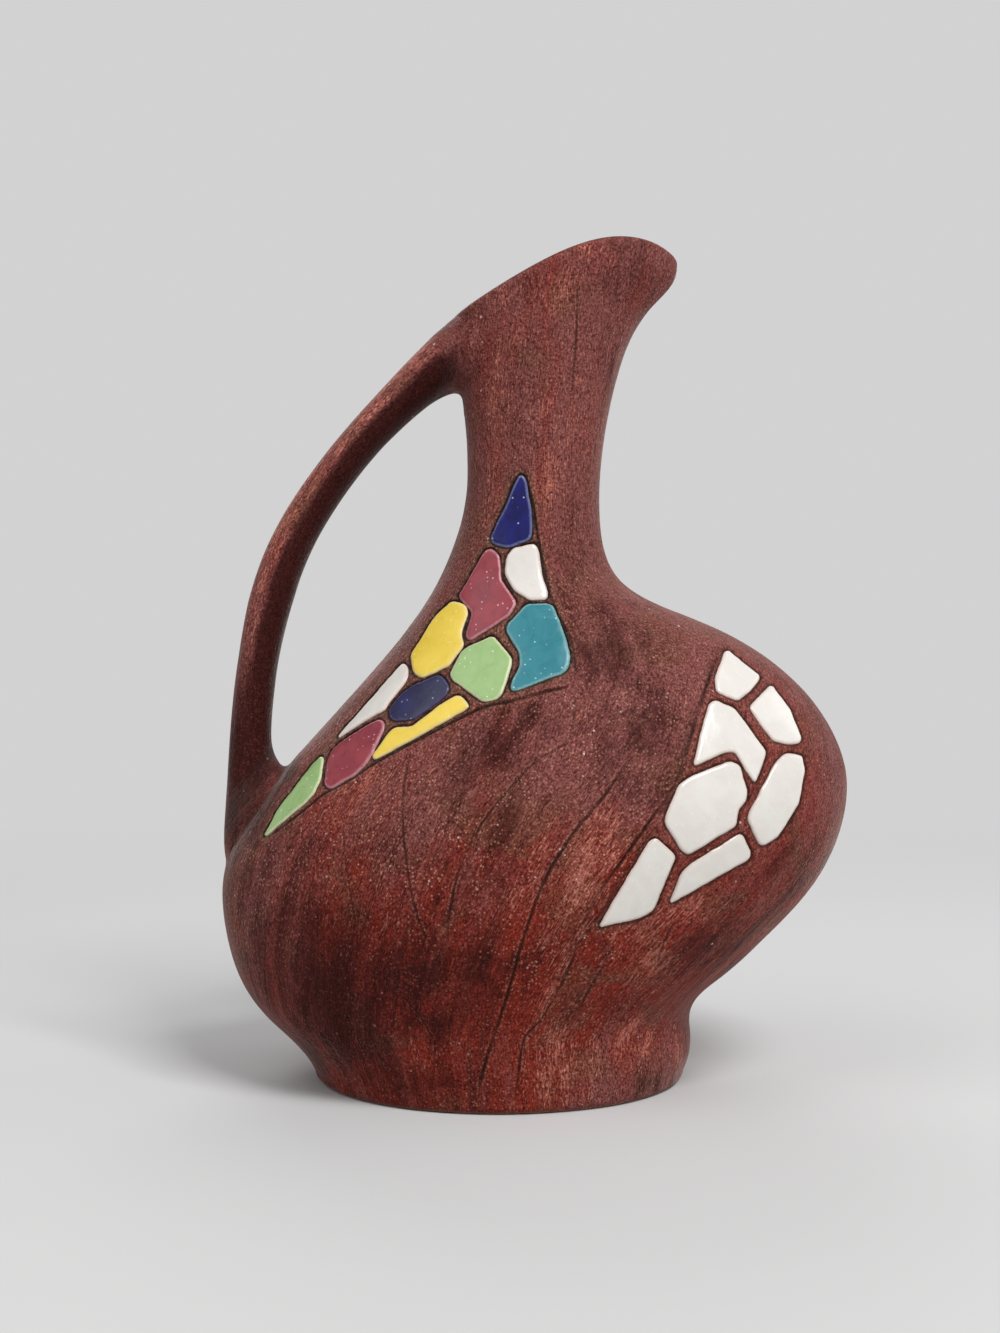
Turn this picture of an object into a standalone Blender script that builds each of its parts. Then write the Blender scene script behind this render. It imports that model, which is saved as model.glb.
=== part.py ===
"""Ceramic ewer with a leaning, lopsided body, a loop handle and two panels of coloured glaze.

All sizes below are millimetres; mesh_object() turns them into metres. +Z is up, the front is -Y,
the handle is at -X and the spout at +X. The origin is the bottom centre of the ewer's box.
"""

from collections import namedtuple

import bpy
import numpy as np

MM = 0.001

# Clay
WALL = 4.2
FLOOR = 6.0
FLOOR_CORNER = 4.0

# Foot
FOOT_ROUNDING = 2.8
FOOT_RIM_WIDTH = 7.0
FOOT_RECESS = 1.5
FOOT_RECESS_SLOPE = 1.6

# Interior glaze, a thin coat that ends one band of the loft below the lip
LINING = 0.7
LINING_BARE_BANDS = 1

# Glaze fields, each set in a pocket of its own in the front wall
POCKET_DEPTH = 1.4
GLAZE_PROUD = 0.25
LINE_WIDTH = 2.6
CORNER_CUT = 2.2
SOFT_TURN = 0.5
CORNER_STEPS = 2
EDGE_STEP = 12.0

# Clearance between pieces that touch on the real ewer, and how far a cutter reaches past its cut
SEAM = 0.3
CUTTER_REACH = 6.0

# Mesh density
BODY_SIDES = 34
BODY_BAND = 11.5
HANDLE_SIDES = 14
HANDLE_BAND = 11.5
ROUNDING_STEPS = 3

# How far the crown of a section leans to the spout
CROWN_LEAN = 0.8

# A section runs from a left to a right rail point, (x, z), with a half depth in y. The pinch draws
# its right end in to a beak, and the crown lifts its front and back above the line between the rails.
Section = namedtuple("Section", "left right depth pinch crown")

BODY_SECTIONS = [
    Section((-63.8, 0.0), (43.4, 0.0), 46.2, 0.0, 0.0),
    Section((-67.4, 6.5), (46.2, 6.5), 46.4, 0.0, 0.0),
    Section((-73.8, 13.5), (46.7, 13.5), 47.0, 0.0, 0.0),
    Section((-79.6, 19.0), (46.6, 19.0), 48.2, 0.0, 0.0),
    Section((-84.2, 24.6), (49.2, 24.6), 49.6, 0.0, 0.0),
    Section((-88.3, 32.0), (57.8, 32.0), 51.6, 0.0, 0.0),
    Section((-91.7, 44.0), (70.8, 44.0), 54.2, 0.0, 0.0),
    Section((-92.3, 60.0), (84.9, 60.0), 56.0, 0.0, 0.0),
    Section((-86.0, 76.0), (92.6, 79.0), 55.5, 0.0, 0.0),
    Section((-74.5, 91.0), (92.3, 94.3), 51.5, 0.0, 0.0),
    Section((-62.0, 105.0), (84.8, 109.8), 45.0, 0.0, 0.0),
    Section((-49.0, 119.5), (69.5, 124.8), 37.0, 0.0, 0.0),
    Section((-37.5, 133.5), (48.5, 135.9), 29.0, 0.0, 0.0),
    Section((-27.8, 149.0), (25.6, 148.2), 21.5, 0.0, 0.0),
    Section((-21.0, 168.0), (19.8, 168.0), 18.0, 0.0, 0.0),
    Section((-19.8, 186.0), (20.8, 187.0), 17.5, 0.0, 0.0),
    Section((-21.4, 203.0), (24.2, 205.0), 18.0, 0.02, 0.4),
    Section((-23.0, 213.5), (29.0, 219.5), 18.4, 0.08, 2.4),
    Section((-24.2, 220.0), (36.4, 230.6), 18.7, 0.14, 5.0),
    Section((-24.8, 223.6), (43.1, 242.2), 19.0, 0.20, 7.6),
]

# The handle's rails are its outer and inner edges, from its foot on the shoulder to the lip.
HANDLE_SECTIONS = [
    Section((-88.0, 53.0), (-60.0, 74.0), 13.5, 0.0, 0.0),
    Section((-92.4, 67.0), (-71.0, 87.0), 12.5, 0.0, 0.0),
    Section((-91.9, 84.0), (-77.6, 95.5), 10.0, 0.0, 0.0),
    Section((-90.7, 104.0), (-78.4, 107.0), 8.8, 0.0, 0.0),
    Section((-88.3, 125.0), (-76.6, 123.0), 8.4, 0.0, 0.0),
    Section((-84.4, 145.0), (-72.4, 140.5), 8.4, 0.0, 0.0),
    Section((-76.9, 163.7), (-66.2, 157.5), 8.4, 0.0, 0.0),
    Section((-66.5, 180.0), (-57.2, 172.7), 8.4, 0.0, 0.0),
    Section((-54.6, 195.0), (-46.8, 186.0), 8.8, 0.0, 0.0),
    Section((-41.8, 208.8), (-36.2, 196.4), 9.6, 0.0, 0.0),
    Section((-29.6, 221.0), (-26.0, 203.5), 11.5, 0.0, 0.0),
    Section((-16.0, 230.0), (-12.0, 206.0), 14.0, 0.0, 0.0),
]

# Glaze fields: the corners where the dark lines between them meet, (x, z) seen from the front,
# and the corners round each field. A field stops half a line's width short of its lines.
Panel = namedtuple("Panel", "corners fields")

COLOURED_PANEL = Panel(
    {
        "apex": (-2.7, 183.0),
        "right_1": (0.0, 158.0),
        "right_2": (5.0, 141.0),
        "right_3": (10.0, 128.0),
        "right_4": (10.5, 120.0),
        "base_1": (-8.5, 113.5),
        "base_2": (-17.0, 110.0),
        "base_3": (-46.5, 95.0),
        "base_4": (-61.0, 87.0),
        "base_5": (-65.0, 83.0),
        "tip": (-82.5, 68.5),
        "left_1": (-14.0, 157.0),
        "left_2": (-24.0, 142.0),
        "left_3": (-37.5, 124.5),
        "left_4": (-59.0, 100.5),
        "left_5": (-61.0, 97.0),
        "strip_end_1": (-62.5, 96.5),
        "strip_end_2": (-49.5, 93.0),
        "inner_1": (-9.5, 155.0),
        "inner_2": (-9.5, 147.5),
        "inner_3": (-4.5, 141.0),
        "inner_4": (-10.0, 133.0),
        "inner_5": (-5.5, 124.5),
        "inner_6": (-18.5, 138.5),
        "inner_7": (-21.0, 131.5),
        "inner_8": (-20.0, 129.0),
        "inner_9": (-25.0, 121.0),
        "inner_10": (-23.0, 117.0),
        "inner_11": (-35.0, 118.0),
        "inner_12": (-43.0, 109.0),
        "inner_13": (-40.5, 106.0),
        "inner_14": (-35.0, 106.0),
    },
    {
        "cobalt_apex": "apex left_1 inner_1 right_1",
        "white_neck": "inner_1 inner_2 inner_3 right_2 right_1",
        "plum_upper": "left_1 left_2 inner_6 inner_7 inner_8 inner_4 inner_3 inner_2 inner_1",
        "yellow_upper": "left_2 left_3 inner_11 inner_9 inner_8 inner_7 inner_6",
        "green_middle": "inner_8 inner_9 inner_10 base_2 base_1 inner_5 inner_4",
        "teal_corner": "inner_3 inner_4 inner_5 base_1 right_4 right_3 right_2",
        "navy_middle": "inner_11 inner_12 inner_13 inner_14 inner_10 inner_9",
        "yellow_strip": "inner_10 inner_14 inner_13 strip_end_2 base_2",
        "white_strip": "left_3 strip_end_1 inner_12 inner_11",
        "plum_lower": "left_4 left_5 base_4 base_3 inner_13 inner_12",
        "green_tip": "left_5 tip base_5 base_4",
    },
)

WHITE_PANEL = Panel(
    {
        "top": (55.0, 129.0),
        "right_1": (66.5, 118.5),
        "right_2": (74.5, 110.0),
        "right_3": (77.0, 99.0),
        "right_4": (77.0, 91.5),
        "right_5": (74.5, 82.5),
        "right_6": (68.0, 73.0),
        "base_1": (60.5, 69.0),
        "base_2": (33.5, 55.5),
        "base_3": (28.0, 53.0),
        "tip": (13.0, 50.5),
        "left_1": (48.5, 113.5),
        "left_2": (40.5, 93.5),
        "left_3": (32.0, 79.0),
        "inner_1": (57.5, 111.0),
        "inner_2": (65.5, 99.5),
        "inner_3": (60.0, 88.0),
        "inner_4": (55.5, 97.0),
        "inner_5": (52.0, 97.5),
        "inner_6": (57.0, 83.5),
        "inner_7": (56.0, 79.0),
        "inner_8": (39.5, 69.5),
    },
    {
        "white_top": "top left_1 inner_1 right_1",
        "white_right": "right_1 inner_1 inner_2 right_3 right_2",
        "white_hook": "left_1 left_2 inner_5 inner_4 inner_3 inner_2 inner_1",
        "white_low_right": "inner_2 inner_3 inner_6 inner_7 base_1 right_6 right_5 right_4 right_3",
        "white_middle": "left_2 left_3 inner_8 inner_7 inner_6 inner_3 inner_4 inner_5",
        "white_tip": "left_3 tip base_3 base_2 inner_8",
        "white_low": "inner_8 base_2 base_1 inner_7",
    },
)

# Colours are linear, with the roughness of each glaze
GLAZES = {
    "cobalt": ((0.017, 0.017, 0.188), 0.18),
    "navy": ((0.019, 0.017, 0.102), 0.18),
    "white": ((0.83, 0.79, 0.73), 0.22),
    "plum": ((0.305, 0.045, 0.070), 0.20),
    "yellow": ((0.83, 0.62, 0.08), 0.20),
    "green": ((0.305, 0.546, 0.205), 0.20),
    "teal": ((0.030, 0.262, 0.290), 0.18),
}


class Loft:
    """Oval sections between two rails, joined by a natural cubic spline from share 0 to share 1."""

    def __init__(self, sections, band):
        self.rows = np.array([[*s.left, *s.right, s.depth, s.pinch, s.crown] for s in sections])
        steps = np.linalg.norm(np.diff(self.rows[:, :4], axis=0), axis=1)
        self.knots = np.concatenate([[0.0], np.cumsum(steps)]) / steps.sum()
        self.bends = self._bends()
        self.shares = self._shares(band)

    def _bends(self):
        """The second derivatives at the sections, from the spline's usual tridiagonal system."""
        count = len(self.rows)
        gaps = np.diff(self.knots)
        slopes = np.diff(self.rows, axis=0) / gaps[:, None]
        system = np.eye(count)
        target = np.zeros_like(self.rows)
        for i in range(1, count - 1):
            system[i, i - 1 : i + 2] = gaps[i - 1], 2.0 * (gaps[i - 1] + gaps[i]), gaps[i]
            target[i] = 6.0 * (slopes[i] - slopes[i - 1])
        return np.linalg.solve(system, target)

    def _shares(self, band):
        """Where the rings stand: at each section, and between sections more than a band apart."""
        shares = [0.0]
        for i in range(1, len(self.rows)):
            step = self.rows[i, :4] - self.rows[i - 1, :4]
            height = (np.hypot(*step[:2]) + np.hypot(*step[2:])) / 2
            count = max(1, round(height / band))
            shares += list(np.linspace(self.knots[i - 1], self.knots[i], count + 1)[1:])
        return np.array(shares)

    def at(self, share):
        """The section's numbers at a share: both rail points, the half depth, pinch and crown."""
        i = int(np.clip(np.searchsorted(self.knots, share) - 1, 0, len(self.rows) - 2))
        gap = self.knots[i + 1] - self.knots[i]
        a = (self.knots[i + 1] - share) / gap
        b = 1.0 - a
        bend = (a**3 - a) * self.bends[i] + (b**3 - b) * self.bends[i + 1]
        return a * self.rows[i] + b * self.rows[i + 1] + bend * gap * gap / 6.0

    def ring(self, share, angles):
        """Angle 0 is the right rail, and the front lies between -pi and 0."""
        left_x, left_z, right_x, right_z, depth, pinch, crown = self.at(share)
        cosine, sine = np.cos(angles), np.sin(angles)
        x = (left_x + right_x) / 2 + (right_x - left_x) / 2 * cosine
        z = (left_z + right_z) / 2 + (right_z - left_z) / 2 * cosine
        y = depth * sine * (1.0 - pinch * cosine)
        rise = crown * sine**2 * (1.0 + CROWN_LEAN * cosine)
        return np.stack([x, y, z + rise], axis=1)

    def frame(self, share, angles):
        """The ring's points, with the outward normal and the upward direction at each."""
        turn, climb = 1e-3, 1e-4
        low, high = max(0.0, share - climb), min(1.0, share + climb)
        along = self.ring(high, angles) - self.ring(low, angles)
        around = self.ring(share, angles + turn) - self.ring(share, angles - turn)
        normal = np.cross(around, along)
        normal /= np.linalg.norm(normal, axis=1)[:, None]
        along /= np.linalg.norm(along, axis=1)[:, None]
        return self.ring(share, angles), normal, along

    def lifted(self, share, angles, lift):
        """The ring moved out of the clay by lift, or into it where lift is negative."""
        points, normal, _ = self.frame(share, angles)
        return points + normal * lift

    def share_at_height(self, height):
        """Where the left rail reaches a height, for the level sections near the foot."""
        low, high = 0.0, 0.5
        for _ in range(40):
            middle = (low + high) / 2
            if self.at(middle)[1] < height:
                low = middle
            else:
                high = middle
        return low

    def front_point(self, x, z):
        """The share and angle of the point on the front that has this x and z, by Newton's method."""
        share, angle = 0.5, -np.pi / 2
        step = 1e-5
        for _ in range(40):
            here, up, around = (
                self.ring(s, np.array([a]))[0, [0, 2]]
                for s, a in ((share, angle), (share + step, angle), (share, angle + step))
            )
            slopes = np.stack([up - here, around - here], axis=1) / step
            move = np.linalg.solve(slopes, np.array([x, z]) - here)
            move /= max(1.0, np.abs(move).max() / 0.1)
            share = np.clip(share + move[0], 0.02, 0.98)
            angle = np.clip(angle + move[1], -np.pi + 0.05, -0.05)
            if np.abs(move).max() < 1e-7:
                break
        return share, angle


def angles_of(sides):
    return np.arange(sides) * 2.0 * np.pi / sides


def level_ring(points, inset, height):
    """A ring drawn in by inset towards its middle and laid flat at a height."""
    outward = points - points.mean(axis=0)
    outward[:, 2] = 0.0
    outward /= np.linalg.norm(outward, axis=1)[:, None]
    level = points - outward * inset
    level[:, 2] = height
    return level


def loft_faces(ring_count, sides):
    """Triangles between successive rings, each quad split along the same diagonal."""
    faces = []
    for i in range(ring_count - 1):
        for j in range(sides):
            a = i * sides + j
            b = i * sides + (j + 1) % sides
            c, d = a + sides, b + sides
            faces += [(a, b, d), (a, d, c)]
    return faces


def closed_loft(rings):
    """Points and faces of a loft whose first and last rings are closed by a fan to their centres."""
    sides = len(rings[0])
    points = np.concatenate([*rings, [rings[0].mean(axis=0)], [rings[-1].mean(axis=0)]])
    faces = loft_faces(len(rings), sides)
    start, end = len(points) - 2, len(points) - 1
    last = (len(rings) - 1) * sides
    for j in range(sides):
        k = (j + 1) % sides
        faces += [(start, k, j), (end, last + j, last + k)]
    return points, faces


def inset_outline(corners, inset):
    """The outline moved inwards by inset. Its corners run counterclockwise."""
    corners = np.array(corners, float)
    edges = np.roll(corners, -1, axis=0) - corners
    edges /= np.linalg.norm(edges, axis=1)[:, None]
    inward = np.stack([-edges[:, 1], edges[:, 0]], axis=1)
    before = np.roll(inward, 1, axis=0)
    share = 1.0 + (inward * before).sum(axis=1)[:, None]
    return corners + inset * (inward + before) / share


def rounded_outline(corners, cut, soft_turn, steps):
    """The outline with a smooth bend from cut before each corner to cut after it."""
    points = []
    for i, corner in enumerate(corners):
        back = corners[i - 1] - corner
        ahead = corners[(i + 1) % len(corners)] - corner
        start = corner + back / np.linalg.norm(back) * min(cut, 0.45 * np.linalg.norm(back))
        end = corner + ahead / np.linalg.norm(ahead) * min(cut, 0.45 * np.linalg.norm(ahead))
        turn = np.pi - np.arccos(np.dot(back, ahead) / np.linalg.norm(back) / np.linalg.norm(ahead))
        for t in np.linspace(0.0, 1.0, (steps if turn > soft_turn else 1) + 1):
            points.append((1 - t) ** 2 * start + 2 * t * (1 - t) * corner + t**2 * end)
    return np.array(points)


def divided_outline(corners, longest):
    """The outline with more points along the edges that are longer than longest."""
    points = []
    for i, corner in enumerate(corners):
        ahead = corners[(i + 1) % len(corners)]
        count = int(np.ceil(np.linalg.norm(ahead - corner) / longest))
        points += [corner + (ahead - corner) * step / count for step in range(count)]
    return np.array(points)


def field_outline(panel, field, inset):
    """The edge of a glaze field in x and z, drawn in from its lines by inset."""
    corners = np.array([panel.corners[name] for name in panel.fields[field].split()])
    ahead = np.roll(corners, -1, axis=0)
    if (corners[:, 0] * ahead[:, 1] - corners[:, 1] * ahead[:, 0]).sum() < 0.0:
        corners = corners[::-1]
    outline = inset_outline(corners, inset)
    return divided_outline(rounded_outline(outline, CORNER_CUT, SOFT_TURN, CORNER_STEPS), EDGE_STEP)


def prism_through(loft, outline):
    """Points and faces of a block through the front wall, its sides square to the surface."""
    rings = [[], []]
    for x, z in outline:
        share, angle = loft.front_point(x, z)
        point, normal, _ = loft.frame(share, np.array([angle]))
        rings[0].append(point[0] - normal[0] * CUTTER_REACH)
        rings[1].append(point[0] + normal[0] * CUTTER_REACH)
    count = len(outline)
    sides = loft_faces(2, count)
    caps = [tuple(range(count))[::-1], tuple(range(count, 2 * count))]
    return np.concatenate(rings), sides + caps


def front_skin(name, loft, lift, sink, collection):
    """A closed layer over the front of the ewer, from lift outside its surface to sink inside it."""
    angles = np.linspace(-np.pi, 0.0, BODY_SIDES // 2 + 1)
    rings = []
    for share in loft.shares[1:]:
        outside = loft.lifted(share, angles, lift)
        inside = loft.lifted(share, angles, -sink)
        rings.append(np.concatenate([outside, inside[::-1]]))
    count = len(rings[0])
    faces = loft_faces(len(rings), count)
    last = (len(rings) - 1) * count
    for j in range(len(angles) - 1):
        k = count - 1 - j
        faces += [(j, k, k - 1, j + 1), (last + j, last + j + 1, last + k - 1, last + k)]
    return as_cutter(mesh_object(name, np.concatenate(rings), faces, collection))


def plain_material(name, colour, roughness):
    material = bpy.data.materials.new(name)
    material.use_nodes = True
    shader = material.node_tree.nodes["Principled BSDF"]
    shader.inputs["Base Color"].default_value = (*colour, 1.0)
    shader.inputs["Roughness"].default_value = roughness
    shader.inputs["Metallic"].default_value = 0.0
    return material


def mesh_object(name, points, faces, collection, material=None):
    """A mesh object in metres, made from points in millimetres."""
    mesh = bpy.data.meshes.new(name)
    mesh.from_pydata([tuple(p) for p in np.array(points) * MM], [], faces)
    mesh.update()
    obj = bpy.data.objects.new(name, mesh)
    collection.objects.link(obj)
    if material:
        mesh.materials.append(material)
    return obj


def as_cutter(obj):
    obj.hide_render = True
    obj.display_type = "WIRE"
    return obj


def boolean(obj, operation, cutter):
    modifier = obj.modifiers.new(operation.title(), "BOOLEAN")
    modifier.operation = operation
    modifier.object = cutter
    modifier.solver = "EXACT"


def shade(obj, angle=40.0):
    obj.data.shade_smooth()
    obj.data.set_sharp_from_angle(angle=np.radians(angle))


def foot_rings(loft, angles):
    """From the recess under the foot, over the standing rim, to the rounded edge."""
    edge = loft.ring(loft.share_at_height(FOOT_ROUNDING), angles)
    rim = FOOT_ROUNDING + FOOT_RIM_WIDTH
    rings = [level_ring(edge, rim + FOOT_RECESS_SLOPE, FOOT_RECESS), level_ring(edge, rim, 0.0)]
    for turn in np.linspace(np.pi / 2, 0.0, ROUNDING_STEPS):
        inset = FOOT_ROUNDING * (1.0 - np.cos(turn))
        rings.append(level_ring(edge, inset, FOOT_ROUNDING * (1.0 - np.sin(turn))))
    return rings


def outer_rings(loft, angles, lift=0.0):
    return [loft.lifted(share, angles, lift) for share in loft.shares[1:]]


def lip_rings(loft, angles):
    """The rounded lip: a half circle as wide as the wall, over the top section."""
    points, normal, along = loft.frame(1.0, angles)
    radius = WALL / 2
    rings = []
    for turn in np.linspace(0.0, np.pi, ROUNDING_STEPS + 2)[1:-1]:
        rings.append(points - normal * radius * (1.0 - np.cos(turn)) + along * radius * np.sin(turn))
    return rings


def inner_rings(loft, angles, coat=0.0, bare_bands=0):
    """The inside of the wall, a ring at each section down to the rounded floor, under a coat."""
    bottom = loft.share_at_height(FLOOR + FLOOR_CORNER)
    shares = [share for share in loft.knots[::-1] if share > bottom * 1.05] + [bottom]
    rings = [loft.lifted(share, angles, -WALL - coat) for share in shares[bare_bands:]]
    lowest = rings[-1]
    radius = FLOOR_CORNER - coat
    for turn in (np.pi / 4, np.pi / 2):
        height = FLOOR + FLOOR_CORNER - radius * np.sin(turn)
        rings.append(level_ring(lowest, radius * (1.0 - np.cos(turn)), height))
    return rings


def make_body(loft, collection, material):
    angles = angles_of(BODY_SIDES)
    rings = foot_rings(loft, angles) + outer_rings(loft, angles)
    rings += lip_rings(loft, angles) + inner_rings(loft, angles)
    points, faces = closed_loft(rings)
    body = mesh_object("body", points, faces, collection, material)
    shade(body)
    return body


def make_lining(loft, collection, material):
    """The glaze coat inside: its clay side, then its open side, joined by a thin edge at the top."""
    angles = angles_of(BODY_SIDES)
    clay_side = inner_rings(loft, angles, SEAM, LINING_BARE_BANDS)
    open_side = inner_rings(loft, angles, SEAM + LINING, LINING_BARE_BANDS)
    points, faces = closed_loft(clay_side[::-1] + open_side)
    lining = mesh_object("interior_glaze", points, faces, collection, material)
    shade(lining)


def make_core(loft, collection):
    """The ewer's outside as one solid, a seam wider than the clay and carried on above the lip."""
    angles = angles_of(BODY_SIDES)
    rings = [level_ring(loft.ring(0.0, angles), -SEAM, -SEAM)] + outer_rings(loft, angles, SEAM)
    points, normal, along = loft.frame(1.0, angles)
    rings.append(points + normal * SEAM + along * CUTTER_REACH)
    points, faces = closed_loft(rings)
    return as_cutter(mesh_object("core", points, faces, collection))


def make_handle(core, collection, material):
    loft = Loft(HANDLE_SECTIONS, HANDLE_BAND)
    angles = angles_of(HANDLE_SIDES)
    points, faces = closed_loft([loft.ring(share, angles) for share in loft.shares])
    handle = mesh_object("handle", points, faces, collection, material)
    shade(handle)
    boolean(handle, "DIFFERENCE", core)


def fields():
    for panel in (COLOURED_PANEL, WHITE_PANEL):
        for field in panel.fields:
            yield panel, field


def cut_pockets(loft, body, cutters):
    """Sinks one pocket in the front of the body for each glaze field, a seam wider all round."""
    points, faces = [], []
    for panel, field in fields():
        block, sides = prism_through(loft, field_outline(panel, field, LINE_WIDTH / 2 - SEAM))
        faces += [tuple(index + len(points) for index in face) for face in sides]
        points += list(block)
    pockets = as_cutter(mesh_object("pockets", points, faces, cutters))
    skin = front_skin("pocket_skin", loft, CUTTER_REACH / 2, POCKET_DEPTH, cutters)
    boolean(pockets, "INTERSECT", skin)
    boolean(body, "DIFFERENCE", pockets)


def make_fields(loft, collection, cutters):
    """The glaze fields, each standing a little proud of the clay and a seam off its pocket's floor."""
    skin = front_skin("field_skin", loft, GLAZE_PROUD, POCKET_DEPTH - SEAM, cutters)
    glazes = {name: plain_material(name + "_glaze", *look) for name, look in GLAZES.items()}
    for panel, field in fields():
        points, faces = prism_through(loft, field_outline(panel, field, LINE_WIDTH / 2))
        glaze = glazes[field.split("_")[0]]
        tile = mesh_object("glaze_" + field, points, faces, collection, glaze)
        shade(tile)
        boolean(tile, "INTERSECT", skin)


def main():
    for obj in list(bpy.data.objects):
        bpy.data.objects.remove(obj)
    ewer = bpy.data.collections.new("ewer")
    cutters = bpy.data.collections.new("cutters")
    bpy.context.scene.collection.children.link(ewer)
    bpy.context.scene.collection.children.link(cutters)

    clay = plain_material("brushed_clay", (0.165, 0.045, 0.030), 0.62)
    interior = plain_material("interior_gloss", (0.120, 0.055, 0.035), 0.22)

    loft = Loft(BODY_SECTIONS, BODY_BAND)
    body = make_body(loft, ewer, clay)
    cut_pockets(loft, body, cutters)
    make_lining(loft, ewer, interior)
    core = make_core(loft, cutters)
    make_handle(core, ewer, clay)
    make_fields(loft, ewer, cutters)


main()
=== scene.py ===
"""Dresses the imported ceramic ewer: brushed clay, incised lines and glossy glaze fields.

Lengths are millimetres until mesh_object() turns them into metres. The front is -Y. A place on a
loft is a pair: its share of the way up, and its angle round.
"""

from collections import namedtuple

import bpy
import numpy as np
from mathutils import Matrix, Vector, noise
from mathutils.bvhtree import BVHTree
from mathutils.geometry import delaunay_2d_cdt
from mathutils.kdtree import KDTree


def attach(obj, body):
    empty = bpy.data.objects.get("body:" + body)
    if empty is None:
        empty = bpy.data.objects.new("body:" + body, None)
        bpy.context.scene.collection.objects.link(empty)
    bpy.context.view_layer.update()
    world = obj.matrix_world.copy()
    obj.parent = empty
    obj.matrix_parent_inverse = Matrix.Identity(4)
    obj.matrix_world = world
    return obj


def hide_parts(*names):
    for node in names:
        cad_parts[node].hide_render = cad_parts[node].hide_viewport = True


MM = 0.001

# The camera, the photograph's frame, in whose pixels the marks are placed, and the size of a pixel
CAMERA = np.array([-10.0, -480.0, 121.8])
FOCAL = 1600.0
FRAME_SIZE = (1000, 1333)
FRAME_CENTRE = np.array([500.0, 667.0])
SENSOR = 36.0
PIXEL = 0.3

# Clay: the part's numbers, with one section more for a round lip tip and a fuller end of the handle
WALL = 4.2
FLOOR = 6.0
FLOOR_CORNER = 4.0
FOOT_ROUNDING = 2.8
FOOT_RIM_WIDTH = 7.0
FOOT_RECESS = 1.5
FOOT_RECESS_SLOPE = 1.6
CROWN_LEAN = 0.8

Section = namedtuple("Section", "left_x left_z right_x right_z depth pinch crown", defaults=(0.0, 0.0))

BODY_SECTIONS = [
    Section(-63.8, 0.0, 43.4, 0.0, 46.2),
    Section(-67.4, 6.5, 46.2, 6.5, 46.4),
    Section(-73.8, 13.5, 46.7, 13.5, 47.0),
    Section(-79.6, 19.0, 46.6, 19.0, 48.2),
    Section(-84.2, 24.6, 49.2, 24.6, 49.6),
    Section(-88.3, 32.0, 57.8, 32.0, 51.6),
    Section(-91.7, 44.0, 70.8, 44.0, 54.2),
    Section(-92.3, 60.0, 84.9, 60.0, 56.0),
    Section(-86.0, 76.0, 92.6, 79.0, 55.5),
    Section(-74.5, 91.0, 92.3, 94.3, 51.5),
    Section(-62.0, 105.0, 84.8, 109.8, 45.0),
    Section(-49.0, 119.5, 69.5, 124.8, 37.0),
    Section(-37.5, 133.5, 48.5, 135.9, 29.0),
    Section(-27.8, 149.0, 25.6, 148.2, 21.5),
    Section(-21.0, 168.0, 19.8, 168.0, 18.0),
    Section(-19.8, 186.0, 20.8, 187.0, 17.5),
    Section(-21.4, 203.0, 24.2, 205.0, 18.0, 0.02, 0.4),
    Section(-23.0, 213.5, 29.0, 219.5, 18.4, 0.08, 2.4),
    Section(-24.2, 220.0, 36.4, 230.6, 18.7, 0.14, 5.0),
    Section(-24.65, 222.7, 42.9, 239.6, 18.9, 0.18, 6.9),
    Section(-24.8, 223.6, 43.1, 242.2, 19.0, 0.20, 7.6),
]

HANDLE_SECTIONS = [
    Section(-88.0, 53.0, -60.0, 74.0, 13.5),
    Section(-92.4, 67.0, -71.0, 87.0, 12.5),
    Section(-91.9, 84.0, -77.6, 95.5, 10.0),
    Section(-90.7, 104.0, -78.4, 107.0, 8.8),
    Section(-88.3, 125.0, -76.6, 123.0, 8.4),
    Section(-84.4, 145.0, -72.4, 140.5, 8.4),
    Section(-76.9, 163.7, -66.2, 157.5, 8.4),
    Section(-66.5, 180.0, -57.2, 172.7, 8.4),
    Section(-54.6, 195.0, -46.8, 186.0, 8.8),
    Section(-41.8, 208.8, -36.2, 196.4, 9.6),
    Section(-29.6, 221.2, -26.0, 203.5, 12.5),
    Section(-16.0, 232.8, -12.0, 206.0, 14.4),
]

# Mesh density: quads round half the body, rows outside and inside, spacing between and along marks
HALF_SIDES = 120
ROWS = 190
INSIDE_ROWS = 90
FRONT_SPACING = 1.5
MARK_SPACING = 0.45

# Points beside the marks, and the least distance between any two
MARK_LEAST = 0.16
LINE_OFFSETS = (0.0, -0.22, 0.22, -0.45, 0.45, -0.75, 0.75, -1.2, 1.2)
EDGE_OFFSETS = (0.1, 0.45, -0.4, 0.8, 1.25)
FIELD_OFFSETS = (-0.12, -0.3, -0.55, -0.9, -1.4)

# The handle's loft and the body's beside it: rows, sides and how far the opening reaches up
HANDLE_ROWS = 150
ARM_SIDES = 72
SHELL_SIDES = 180
ABOVE_LIP = 14.0

# The handle's joints: fineness of the fused form, how far the rounding reaches and how strong it is
VOXEL = 0.7
CROOK_INNER = 3.0
CROOK_OUTER = 7.0
CROOK_ROUNDS = 40

# The clay kept round the joints: width, lift, how far its border sinks, and its end inside the wall
SKIRT = 10.0
SKIRT_LIFT = 0.08
SKIRT_SINK = 0.20
BORDER_DEPTH = 0.3
MID_WALL = 2.9

# Cut of the incised lines
LINE_HALF_WIDTH = 0.48
LINE_DEPTH = 0.36
LINE_BURR = 0.03
LINE_TAPER = 7.0

# Pockets and glaze, as depths under the clay's surface where below zero
POCKET_DEPTH = 1.1
BAND_DEPTH = 0.2
BAND_TAPER = 4.0
SHOULDER_DROP = 0.14
FIELD_EDGE = -0.42
FIELD_SHOULDER = 1.25
LINING = 1.0

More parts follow.
